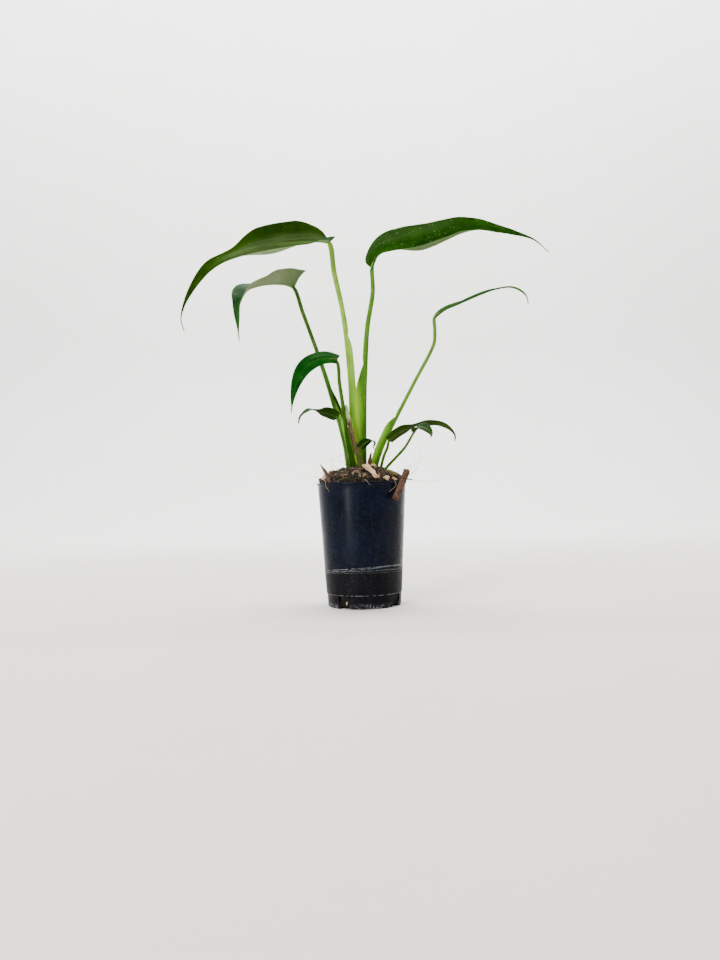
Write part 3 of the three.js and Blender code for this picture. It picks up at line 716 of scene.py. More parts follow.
    def sheath_section(self, u: Array, radius: Array) -> Array:
        """Sections of the stalk, from round to a thin trough with two wings.

        The trough's outer face runs round the back as radius × (sin, -cos) and then up
        both wings. Its inner face comes back down them and across the floor. The round
        section shares the same corners, and the two are mixed by how far the wings stand.

        Args:
            u: Places along the stalk.
            radius: Radius at each of them.

        Returns:
            Section points, rows × points × 2.
        """
        count = SHEATH_POINTS
        f = np.linspace(-1, 1, count)
        angle = f * np.radians(112)
        r = radius[:, None]
        outer_round = np.stack([r * np.sin(angle), -r * np.cos(angle)], axis=-1)
        inner_angle = f[::-1] * np.radians(64)
        inner_round = np.stack([r * np.sin(inner_angle), r * np.cos(inner_angle)], axis=-1)
        if self.stalk.sheath is None:
            return np.concatenate([outer_round, inner_round], axis=1)
        sheath = self.stalk.sheath
        rise = eased(*SHEATH_START, u)
        fade = 1 - eased(sheath.end - sheath.fade, sheath.end, u) ** 1.5
        wing = (sheath.wing * rise * fade)[:, None]
        opened = eased(0, 1, wing / r)[..., None]
        top = 0.3 * r + wing
        quarter = 0.5 * np.pi * r
        run = np.abs(f) * (quarter + top)
        turn = np.minimum(run, quarter) / r
        above = np.maximum(0, run - quarter)
        outer_x = np.sign(f) * r * (np.sin(turn) - 0.04 * above / r)
        outer = np.stack([outer_x, above - r * np.cos(turn)], axis=-1)
        wall = 0.75 - 0.45 * eased(0, 1, above / np.maximum(top, 1e-6))
        back = f[::-1]
        inner_x = (outer_x - np.sign(f) * wall * np.sin(turn))[:, ::-1]
        floor = 0.15 * r + 0.1 * r * np.abs(back)
        inner_y = np.maximum(floor, above[:, ::-1])
        inner = np.stack([inner_x, inner_y + 0 * inner_x], axis=-1)
        trough = np.concatenate([outer, inner], axis=1)
        plain = np.concatenate([outer_round, inner_round], axis=1)
        return plain * (1 - opened) + trough * opened

    def build_stalk(self, material: Material) -> None:
        """Makes the stalk along its route and on into the first of the midrib.

        Args:
            material: The stalk's finish.
        """
        stalk = self.stalk
        into_blade = self.blade.midrib[:2]
        foot = (*stalk.foot, STALK_FOOT)
        bare = Route((foot, *stalk.route, into_blade[0]))
        route = Route((foot, *stalk.route, *into_blade))
        share = bare.length() / route.length()
        u = np.linspace(0, 1, int(np.clip(route.length() * 0.8, 40, 150)))
        plain = along(stalk.radii, u / share)
        radius = plain * (1 - 0.8 * eased(0.985 * share, 1.0, u))
        section = self.sheath_section(u / share, radius)
        grid = swept(route, u, section, stalk.open)
        rows, columns = grid.shape[:2]
        swell = 1 + 0.03 * layered_noise(grid, 14, 5, 2)
        centre = route.at(u)[0][:, None, :]
        grid = centre + (grid - centre) * swell[..., None]
        faces = ring_faces(rows, columns).tolist()
        faces += [list(range(columns))[::-1], list(range((rows - 1) * columns, rows * columns))]
        f = np.linspace(-1, 1, SHEATH_POINTS)
        edge = np.concatenate([np.abs(f), np.abs(f)])
        winged = np.zeros(rows)
        if stalk.sheath is not None:
            end, fade = stalk.sheath.end, stalk.sheath.fade
            winged = eased(*SHEATH_START, u) * (1 - eased(end - fade, end, u / share))
        values = {
            "along": np.repeat(u, columns),
            "wing": (winged[:, None] * edge[None]).ravel(),
        }
        piece = make_object(f"leaf_stalk_{self.name}", grid, faces, values)
        dress(piece, material, Slot.STALK, [f"stalk_{self.name}"])


def surface_normals(grid: Array) -> Array:
    """Unit normals of a grid of points: across × along, by finite differences."""
    return unit(np.cross(np.gradient(grid, axis=1), np.gradient(grid, axis=0)))


# Pot


@dataclass(frozen=True)
class NurseryPot:
    """A round tapered pot with a lip, a step above the foot and four drainage slots."""

    height: float = 95.0
    rim_radius: float = 35.0
    base_radius: float = 28.2
    foot_top_radius: float = 28.8
    step_radius: float = 29.3
    step_height: float = 10.2
    wall: float = 1.0
    floor: float = 1.2
    lip: float = 0.8
    lip_height: float = 1.6
    slot_width: float = 9.5
    slot_height: float = 9.8
    slot_inner: float = 22.0
    slot_first: float = -33.0
    slot_count: int = 4
    columns_per_slot: int = 40
    columns_across_slot: int = 9
    edge_bevel: float = 0.14

    def outer_radius(self, z: Array | float) -> Array | float:
        """Outer radius of the tapered wall at a height."""
        share = (z - self.step_height) / (self.height - self.step_height)
        return self.step_radius + share * (self.rim_radius - self.lip - self.step_radius)

    def inner_radius(self, z: Array | float) -> Array | float:
        """Inner radius of the wall at a height."""
        return self.outer_radius(z) - self.wall

    def _profile(self) -> Array:
        """Outer skin from the underside's centre out, up the wall and over the lip, as (r, z)."""
        under = self.height - self.lip_height
        floor = [(r, 0.0) for r in (1.5, 8.0, 15.0, 19.6)]
        groove = [(20.0, 0.35), (21.0, 0.35), (21.4, 0.0), (self.slot_inner, 0.0)]
        foot = [(self.base_radius - 2.0, 0.0), (self.base_radius - 0.45, 0.0)]
        corner = [(self.base_radius - 0.13, 0.14), (self.base_radius, 0.5)]
        heights = np.linspace(2.5, self.step_height - 0.6, 4)
        slope = (self.foot_top_radius - self.base_radius) / self.step_height
        wall_low = [(self.base_radius + slope * z, z) for z in heights]
        step = [(self.foot_top_radius + 0.1, self.step_height - 0.25), (self.step_radius, self.step_height)]
        wall_high = [
            (self.outer_radius(z), z) for z in np.linspace(self.step_height + 0.5, under - 0.5, 26)
        ]
        lip = [
            (self.outer_radius(under) + 0.1, under - 0.1),
            (self.rim_radius - 0.12, under + 0.1),
            (self.rim_radius, under + 0.35),
            (self.rim_radius, self.height - 0.4),
            (self.rim_radius - 0.14, self.height - 0.1),
            (self.rim_radius - 0.45, self.height),
            (self.rim_radius - 1.2, self.height),
        ]
        return np.array(floor + groove + foot + corner + wall_low + step + wall_high + lip)

    def build(self, material: Material) -> None:
        """Turns the profile round the axis, leaves the slots out and gives the skin its wall.

        Args:
            material: The pot's finish.
        """
        profile = self._profile()
        half = math.degrees(math.asin(self.slot_width / 2 / self.base_radius))
        pitch = 360 / self.slot_count
        inside = np.linspace(-half, half, self.columns_across_slot)
        between = np.linspace(half, pitch - half, self.columns_per_slot)[1:-1]
        one = np.concatenate([inside, between])
        starts = self.slot_first - 90 + pitch * np.arange(self.slot_count)
        angle = np.radians((starts[:, None] + one[None]).ravel())
        open_columns = np.arange(len(one)) < len(inside) - 1
        in_slot = np.tile(open_columns, self.slot_count)
        r, z = profile[:, 0:1], profile[:, 1:2]
        grid = np.stack([r * np.cos(angle), r * np.sin(angle), z + 0 * angle], axis=-1)
        rows, columns = grid.shape[:2]
        faces = ring_faces(rows, columns).reshape(rows - 1, columns, 4)
        middle = (profile[1:] + profile[:-1]) / 2
        low = (middle[:, 0] > self.slot_inner) & (middle[:, 1] < self.slot_height)
        kept = faces[~(low[:, None] & in_slot[None])]
        floor_face = [list(range(columns))]
        pot = make_object("pot_shell", grid, kept.tolist() + floor_face)
        solid = pot.modifiers.new("wall", "SOLIDIFY")
        solid.thickness = self.wall * MM
        solid.offset = -1
        solid.use_even_offset = True
        bevel = pot.modifiers.new("soft edges", "BEVEL")
        bevel.width = self.edge_bevel * MM
        bevel.segments = 2
        bevel.limit_method = "ANGLE"
        bevel.angle_limit = math.radians(50)
        dress(pot, material, Slot.POT, ["pot"])


# Soil and what lies on it


@dataclass(frozen=True)
class Heap:
    """The soil: a lumpy mound over the rim, on a plug that fills the pot."""

    pot: NurseryPot
    rim_height: float = 96.2
    mound: float = 10.6
    power: float = 0.9
    lump_count: int = 46
    seed: int = 20
    gap: float = 0.3
    sectors: int = 240
    rings: int = 84

    def lumps(self) -> Array:
        """Lumps as rows of x, y, reach and height, from the seeded draws."""
        draws = np.array(seeded_draws(self.seed, 4 * self.lump_count)).reshape(-1, 4)
        radius = 31 * np.sqrt(draws[:, 0])
        angle = 2 * np.pi * draws[:, 1]
        spread = 2.5 + 3 * draws[:, 2]
        height = 0.5 + 1.4 * draws[:, 3]
        return np.stack([radius * np.cos(angle), radius * np.sin(angle), spread, height], axis=1)

    def height(self, x: Array, y: Array) -> Array:
        """Height of the heap: rim + mound (1 - e²)^power plus the highest lump at the spot."""
        x, y = np.asarray(x, float), np.asarray(y, float)
        edge = np.minimum(1, np.hypot(x, y) / self.pot.inner_radius(self.pot.height))
        lump = np.zeros_like(edge)
        for lump_x, lump_y, reach, high in self.lumps():
            distance = np.hypot(x - lump_x, y - lump_y) / reach
            lump = np.maximum(lump, np.where(distance < 1, high * (1 - distance**2), 0))
        return self.rim_height + self.mound * (1 - edge**2) ** self.power + lump * (1 - edge**4)

    def spots(self, rng: Random, count: int, outer: float) -> Array:
        """Random points on the heap's surface, even over its area."""
        radius = np.sqrt(rng.uniform(0.0, outer**2, count))
        angle = rng.uniform(0, 2 * np.pi, count)
        x, y = radius * np.cos(angle), radius * np.sin(angle)
        return np.stack([x, y, self.height(x, y)], axis=1)

    def build(self, material: Material) -> None:
        """Makes the heap: rings out to the rim, then down the wall and in under the floor.

        Args:
            material: The soil's finish.
        """
        top = self.pot.height - 0.5
        outer = self.pot.inner_radius(top) - self.gap
        step = self.pot.inner_radius(self.pot.step_height) - self.gap
        foot = self.pot.base_radius - self.pot.wall - self.gap
        low = self.pot.floor + self.gap
        angle = np.linspace(0, 2 * np.pi, self.sectors, endpoint=False)
        radius = outer * np.linspace(0.012, 1, self.rings)
        x = radius[:, None] * np.cos(angle)
        y = radius[:, None] * np.sin(angle)
        heap = np.stack([x, y, self.height(x, y)], axis=-1)
        wall_z = np.linspace(self.rim_height - 0.8, self.pot.step_height, 36)
        foot_z = np.linspace(self.pot.step_height - 1.5, low, 8)
        wall_r = np.interp(wall_z, [self.pot.step_height, top], [step, outer])
        foot_r = np.interp(foot_z, [low, self.pot.step_height], [foot, step])
        side_r = np.concatenate([wall_r, foot_r, foot * np.linspace(0.9, 0.04, 12)])
        side_z = np.concatenate([wall_z, foot_z, np.full(12, low)])
        side = np.stack(
            [
                side_r[:, None] * np.cos(angle),
                side_r[:, None] * np.sin(angle),
                side_z[:, None] + 0 * angle,
            ],
            axis=-1,
        )
        dents = np.maximum(0, layered_noise(side, 2.6, 31, 3))
        side[..., :2] *= 1 - 0.035 * dents[..., None]
        inner = 1 - eased(0.93, 1.0, radius / outer)[:, None]
        rough = 0.8 * layered_noise(heap, 5.0, 11, 2) + 0.55 * np.abs(layered_noise(heap, 1.5, 17, 3))
        heap[..., 2] += (rough - 0.3) * (0.35 + 0.65 * inner)
        grid = np.concatenate([heap, side])
        rows, columns = grid.shape[:2]
        faces = ring_faces(rows, columns).tolist()
        faces += [list(range(columns)), list(range((rows - 1) * columns, rows * columns))]
        piece = make_object("soil_heap", grid, faces)
        dress(piece, material, Slot.SOIL, ["soil"])


@dataclass(frozen=True)
class Litter:
    """Loose grains, flakes, fibres and moss on the heap."""

    heap: Heap
    stalk_feet: tuple[tuple[float, float], ...]
    chips: tuple[Point, ...] = ()
    seed: int = 41
    crumb_count: int = 1300
    grain_count: int = 5200
    flake_count: int = 240
    fibre_count: int = 320
    fibre_points: int = 10
    moss_count: int = 900
    moss_spread: float = 2.3
    moss_patches: tuple[tuple[float, float], ...] = (
        (-31, -9), (-25, -21), (-14, -29), (-4, -31), (20, -25), (26, 17), (-18, 26), (5, 30),
    )
    edge: float = 32.6

    def _clear_spots(self, rng: Random, count: int, room: float, outer: float = 32.0) -> Array:
        """Spots on the heap that keep a distance from every stalk and lie off the chips."""
        spots = self.heap.spots(rng, count * 2, outer=outer)
        feet, chips = np.array(self.stalk_feet), np.array(self.chips)
        flat = spots[:, None, :2]
        away = np.linalg.norm(flat - feet[None], axis=2).min(axis=1)
        off_chip = (np.linalg.norm(flat - chips[None, :, :2], axis=2) - chips[:, 2]).min(axis=1)
        return spots[(away > room) & (off_chip > 0)][:count]

    def build_grains(self, material: Material) -> None:
        """Strews coarse crumbs and fine grains, half sunk in the heap."""
        rng = np.random.default_rng(self.seed)
        coarse = self._clear_spots(rng, self.crumb_count, 3.4)
        across = 0.4 + 1.5 * rng.uniform(0, 1, (len(coarse), 1)) ** 3
        size = across * rng.uniform(0.6, 1.2, (len(coarse), 3))
        dress(scattered("soil_crumbs", coarse, size, rng, 2), material, Slot.SOIL)
        fine = self._clear_spots(rng, self.grain_count, 2.6)
        size = rng.uniform(0.22, 0.6, (len(fine), 1)) * rng.uniform(0.6, 1.3, (len(fine), 3))
        fine[:, 2] += rng.uniform(0, 0.7, len(fine))
        dress(scattered("soil_grains", fine, size, rng, 1), material, Slot.SOIL)

    def build_flakes(self, material: Material) -> None:
        """Strews small flat flakes of bark and wood."""
        rng = np.random.default_rng(self.seed + 1)
        spots = self._clear_spots(rng, self.flake_count, 3.6, 31.5)
        size = rng.uniform(0.7, 2.0, (len(spots), 1)) * np.array([1.0, 0.45, 0.16])
        spots[:, 2] += 0.35
        dress(scattered("bark_flakes", spots, size, rng, 2, 0.18), material, Slot.CHIP)

    def build_fibres(self, material: Material) -> None:
        """Lays thin bent fibres on the heap, each an arc in a random upright plane."""
        rng = np.random.default_rng(self.seed + 2)
        spots = self._clear_spots(rng, self.fibre_count, 2.4, 31.0)
        count = len(spots)
        steps = self.fibre_points
        t = np.linspace(-1, 1, steps)
        heading = rng.uniform(0, 2 * np.pi, count)
        reach = rng.uniform(1.5, 5.0, count)
        bend = rng.uniform(-1.2, 1.2, count)
        forward = np.stack([np.cos(heading), np.sin(heading)], axis=1)
        sideways = np.stack([-np.sin(heading), np.cos(heading)], axis=1)
        flat = (
            spots[:, None, :2]
            + (t[None] * reach[:, None])[..., None] * forward[:, None]
            + (t[None] ** 2 * bend[:, None] * reach[:, None] * 0.4)[..., None] * sideways[:, None]
        )
        room = 32.5 / np.maximum(32.5, np.linalg.norm(flat, axis=-1, keepdims=True))
        flat = flat * room
        tilt = rng.uniform(-0.25, 0.5, (count, 1)) * t[None]
        z = self.heap.height(flat[..., 0], flat[..., 1]) + 1.0 + tilt * reach[:, None] * 0.5
        paths = np.concatenate([flat, z[..., None]], axis=-1)
        radii = np.broadcast_to(rng.uniform(0.06, 0.15, (count, 1)), (count, steps))
        shade = rng.uniform(0, 1, count)
        piece = tubes("soil_fibres", paths, radii, 5, {"shade": shade})
        dress(piece, material, Slot.ROOTS)

    def build_moss(self, material: Material) -> None:
        """Grows moss in patches near the rim, as short thick leaflets that lean outwards."""
        rng = np.random.default_rng(self.seed + 3)
        patches, tufts = np.array(self.moss_patches), self.moss_count
        centre = patches[rng.integers(0, len(patches), tufts)] + rng.normal(0, self.moss_spread, (tufts, 2))
        centre = centre[np.linalg.norm(centre, axis=1) < self.edge]
        count = len(centre)
        base = np.concatenate([centre, self.heap.height(centre[:, 0], centre[:, 1])[:, None]], axis=1)
        lean = rng.normal(0, 0.55, (count, 3)) + np.array([0, 0, 1])
        tall = rng.uniform(0.7, 1.7, (count, 1))
        t = np.linspace(0, 1, 4)
        paths = base[:, None] + t[None, :, None] * (unit(lean) * tall)[:, None]
        paths[..., 2] -= 0.25 * (t**2)[None] * tall
        radii = 0.26 * np.sin(np.pi * (0.25 + 0.7 * t))[None] * rng.uniform(0.7, 1.3, (count, 1))
        piece = tubes("moss", paths, radii, 4, {"shade": rng.uniform(0, 1, count)})
        dress(piece, material, Slot.SOIL)


# Single pieces in and on the soil


@dataclass(frozen=True)
class Strip:
    """A thin dry strip, bowed across its width, with a frayed edge."""

    name: str
    route: tuple[Point, ...]
    half_widths: tuple[float, ...]
    thickness: float
    bow: float
    open: Point

    def build(self, material: Material) -> None:
        """Carries a bowed flat section along the route, its width frayed by noise.

        Args:
            material: The strip's finish.
        """
        route = Route(self.route)
        u = np.linspace(0, 1, 90)
        across = np.linspace(-1, 1, 15)
        half = along(self.half_widths, u)[:, None]
        centre = route.at(u)[0]
        fray = 1 + 0.3 * layered_noise(centre, 1.7, 61, 2)[:, None]
        x = half * fray * across
        bend = 0.5 * self.bow * half * across**2
        crease = 0.12 * np.sin(9 * across + 3 * u[:, None])
        thin = 0.5 * self.thickness * (1 - 0.75 * across**4)
        upper = np.stack([x, bend + crease + thin], axis=-1)
        lower = np.stack([x, bend + crease - thin], axis=-1)[:, ::-1]
        grid = swept(route, u, np.concatenate([upper, lower], axis=1), self.open)
        piece = make_object(f"{self.name}_strip", grid, band_faces(*grid.shape[:2]))
        dress(piece, material, Slot.SHEATH, [self.name])


@dataclass(frozen=True)
class Rod:
    """A root, twig or splinter: a tapered round or angular stick with a rough skin."""

    name: str
    route: tuple[Point, ...]
    radii: tuple[float, ...]
    slot: Slot
    roughness: float = 0.12
    ridges: int = 0
    flatten: float = 1.0
    sides: int = 28

    def build(self, material: Material) -> None:
        """Carries a ring along the route, its radius changed by noise and by lengthwise ridges.

        Args:
            material: The stick's finish.
        """
        route = Route(self.route)
        rows = int(np.clip(route.length() * 5, 40, 120))
        u = np.linspace(0, 1, rows)
        angle = np.linspace(0, 2 * np.pi, self.sides, endpoint=False)
        ends = np.sqrt(np.clip(1 - (2 * u - 1) ** 30, 0.02, 1))
        radius = (along(self.radii, u) * ends)[:, None]
        ridge = 0.06 * np.cos(self.ridges * angle + 2 * u[:, None]) if self.ridges else 0.0
        ring = np.stack([radius * np.cos(angle), self.flatten * radius * np.sin(angle)], axis=-1)
        grid = swept(route, u, ring, (0.0, 0.05, 1.0))
        centre = route.at(u)[0][:, None, :]
        swell = 1 + ridge + self.roughness * layered_noise(grid, 1.6, 71, 3)
        grid = centre + (grid - centre) * swell[..., None]
        faces = ring_faces(rows, self.sides).tolist()
        faces += [list(range(self.sides)), list(range((rows - 1) * self.sides, rows * self.sides))]
        piece = make_object(f"{self.name}_stick", grid, faces)
        dress(piece, material, self.slot, [self.name])


@dataclass(frozen=True)
class BarkTube:
    """Bark curled into an open tube that leans over the rim."""

    top: Point = (34.5, -16.5, 102.8)
    bottom: Point = (24.7, -29.2, 82.0)
    sag: Point = (0.3, -0.2, 0.2)
    radius: float = 2.4
    bore: float = 1.45
    turns: float = 1.12
    rows: int = 120
    columns: int = 64

    def build(self, material: Material) -> None:
        """Carries a rolled-up section along the tube: a band whose ends overlap like a scroll.

        Args:
            material: The bark's finish.
        """
        top, bottom = np.array(self.top), np.array(self.bottom)
        middle = (top + bottom) / 2 + np.array(self.sag)
        route = Route((tuple(bottom), tuple(middle), tuple(top)))
        u = np.linspace(0, 1, self.rows)
        turn = np.linspace(0, self.turns * 2 * np.pi, self.columns)
        outer = self.radius - 0.34 * (1 - turn / turn[-1]) ** 3
        inner = outer - (self.radius - self.bore) * (0.55 + 0.25 * np.sin(turn / 2))
        inner = np.maximum(inner, 1.0)
        angle = turn - 0.6 * np.pi
        band = np.concatenate([outer, inner[::-1]])
        around = np.concatenate([angle, angle[::-1]])
        section = np.stack([band * np.cos(around), band * np.sin(around)], axis=-1)
        taper = (1 - 0.05 * np.cos(2 * np.pi * u) + 0.14 * eased(0.6, 1.0, u))[:, None, None]
        grid = swept(route, u, section[None] * taper, (0.0, -1.0, 0.2))
        centre = route.at(u)[0][:, None, :]
        cracks = np.abs(layered_noise(grid * (1, 1, 0.45), 1.1, 81, 3))
        skin = np.repeat([1.0, 0.0], self.columns)
        ends = eased(0.93, 1, u) - eased(0.93, 1, 1 - u)
        ragged = 0.5 * layered_noise(grid, 1.3, 83, 2) * ends[:, None]
        axis = unit(top - bottom)
        swell = (0.2 * (0.35 - cracks) * skin)[..., None]
        grid = grid + (grid - centre) * swell + ragged[..., None] * axis
        values = {"outside": np.broadcast_to(skin, grid.shape[:2])}
        piece = make_object("curled_bark", grid, band_faces(*grid.shape[:2]), values)
        dress(piece, material, Slot.BARK, ["bark_tube"])


@dataclass(frozen=True)
class Chip:
    """A flake of split wood bedded in the heap."""

    name: str
    place: tuple[float, float]
    size: Point
    yaw: float
    tilt: float
    lift: float
    squareness: float = 0.42

    def build(self, heap: Heap, material: Material, seed: int, replaces: Sequence[str]) -> None:
        """Makes a flat slab with ragged ends.

        A ball is squared off as sign(x) |x|^squareness, scaled to the flake's half sizes, drawn
        to a skewed wedge by its own two draws and dented along the grain.

        Args:
            heap: What it lies on.
            material: Its finish.
            seed: Seed of its dents.
            replaces: The solid that it stands for, if any.
        """
        points, faces = ball(5)
        box = np.sign(points) * np.abs(points) ** self.squareness
        box /= np.abs(box).max(axis=0)
        half = np.array(self.size) / 2
        narrowing, skew = np.random.default_rng(seed + 7).uniform((0.05, -0.3), (0.3, 0.3))
        taper = 1 - narrowing * box[:, 0:1] * np.array([0.0, 1.0, 0.7])
        local = box * half * taper
        local[:, 0] += skew * local[:, 1]
        grain = layered_noise(local * (0.25, 1, 1) + 9.0 * seed, 0.7, 91 + seed, 3)
        ragged = layered_noise(local * (0.1, 1, 1) + 5.0 * seed, 0.9, 93 + seed, 2)
        local[:, 1] *= 1 + 0.4 * grain
        local[:, 2] *= 1 + 0.5 * grain
        local[:, 0] += 0.35 * half[0] * ragged * np.abs(box[:, 0]) ** 3
        yaw, tilt = math.radians(self.yaw), math.radians(self.tilt)
        turn = np.array(Matrix.Rotation(tilt, 3, "X") @ Matrix.Rotation(yaw, 3, "Z"))
        x, y = self.place
        centre = np.array([x, y, float(heap.height(x, y)) + self.lift])
        piece = make_object(f"{self.name}_flake", local @ turn.T + centre, faces, outward=False)
        dress(piece, material, Slot.CHIP, replaces)


@dataclass(frozen=True)
class RootBall:
    """The buried crown and its main roots, one of which ends in a drainage slot."""

    lobes: tuple[tuple[Point, Point], ...] = (((-2, 1, 87), (10, 10, 8)), ((9, -3, 87), (9, 9, 8)))
    roots: tuple[tuple[float, float, float, float], ...] = (
        (-30, 27.4, 2.5, 1.1),
        (25, 25, 22, 1.2),
        (95, 27, 34, 1.0),
        (215, 28, 46, 1.1),
        (275, 26, 26, 1.2),
    )

    def build(self, material: Material) -> None:
        """Makes the crown from two dented balls, and each root as a tapered winding tube.

        Args:
            material: The roots' finish.
        """
        base, triangles = ball(5)
        points, faces = [], []
        for number, (centre, radii) in enumerate(self.lobes):
            lobe = base * np.array(radii) + np.array(centre)
            dent = 1 + 0.05 * layered_noise(lobe, 5.0, 101 + number, 3)
            points.append((lobe - np.array(centre)) * dent[:, None] + np.array(centre))
            faces.append(triangles + number * len(base))
        crown = make_object("buried_crown", np.concatenate(points), np.concatenate(faces), outward=False)
        dress(crown, material, Slot.ROOTS, ["crown_and_roots"])
        u = np.linspace(0, 1, 60)
        paths, radii = [], []
        for azimuth, reach, end, radius in self.roots:
            turn = math.radians(azimuth)
            out = np.array([math.sin(turn), -math.cos(turn), 0.0])
            drop = 80 - end
            stations = [(2, 85), (10, 78), (18, 80 - 0.25 * drop), (21, 80 - 0.7 * drop)]
            knots = [(2 + out[0] * r, out[1] * r, z) for r, z in stations]
            knots.append((out[0] * reach, out[1] * reach, end))
            paths.append(Route(tuple(knots)).at(u)[0])
            radii.append(radius * (1 - 0.35 * u))
        shade = {"shade": np.full(len(paths), 0.6)}
        roots = tubes("buried_roots", np.array(paths), np.array(radii), 12, shade)
        dress(roots, material, Slot.ROOTS)


@dataclass(frozen=True)
class Hairs:
    """Fine pale hairs and root threads that stand out of the heap and hang over the rim."""

    routes: tuple[tuple[Point, ...], ...] = (
        ((-20, -8, 103), (-23.8, -12, 111), (-19.1, -12, 114.7), (-12.2, -12, 116.1), (-6.8, -12, 115.2)),
        ((-13, -10, 106), (-18, -13, 111.5), (-24, -14, 114)),
        ((-11, -10, 107), (-15.5, -14, 113), (-17, -15, 118)),
        ((-9, -10, 108), (-11.5, -14, 113), (-9, -15, 118)),
        ((-17, -9, 104), (-21, -13, 109), (-22, -14, 113)),
        ((-26, -12, 100), (-34, -14, 104), (-36, -15, 101)),
        ((-30, -15, 98), (-38, -17, 100.5), (-46, -18, 98)),
        ((31, -10, 98.5), (38, -12, 100.5), (44.8, -12, 110), (45.6, -12, 117)),
        ((30, -10, 99), (35.7, -12, 103.4), (40.5, -12, 112.4), (41.5, -12, 116)),
        ((31, -10, 99.5), (39.6, -12, 106.3), (43.6, -12, 111), (47, -12, 113)),
        ((33, -10, 99), (40, -12, 101.5), (44, -13, 107)),
        ((30, -10, 98), (46, -12, 94.5), (60, -12, 95)),
        ((26, -14, 101), (35, -15, 106), (39, -15, 106)),
        ((-27, -22, 97), (-27, -24, 93), (-24, -25.5, 88)),
        ((24, -25, 96.5), (25.5, -27, 92), (20, -30, 87)),
        ((2, -31, 97), (3, -34.2, 96.3), (6, -34.6, 93)),
        ((-33, -10, 97), (-37, -12, 94), (-37, -13, 89)),
        ((-20, 22, 99), (-28, 25, 104), (-30, 26, 110)),
        ((12, 26, 98), (15, 30, 101), (16, 33, 99)),
    )
    radius: float = 0.17

    def build(self, material: Material) -> None:
        """Makes each hair as a thin round tube along its route.

        Args:
            material: The hairs' finish.
        """
        u = np.linspace(0, 1, 40)
        paths = np.array([Route(route).at(u)[0] for route in self.routes])
        radii = np.broadcast_to(self.radius * (1 - 0.5 * u), (len(paths), 40))
        piece = tubes("root_hairs", paths, radii, 6, {"shade": np.linspace(0.5, 1, len(paths))})
        dress(piece, material, Slot.ROOTS)


# Finishes


def srgb(colour: Rgb) -> tuple[float, ...]:
    """A screen colour, 0 to 255, as the linear colour that shaders take."""
    parts = [v / 255 / 12.92 if v <= 10 else ((v / 255 + 0.055) / 1.055) ** 2.4 for v in colour]
    return (*parts, 1.0)


def darker(colour: Rgb) -> Rgb:
    """The colour at 0.6 of its brightness."""
    return tuple(int(v * 0.6) for v in colour)


SHADER = "Principled BSDF"


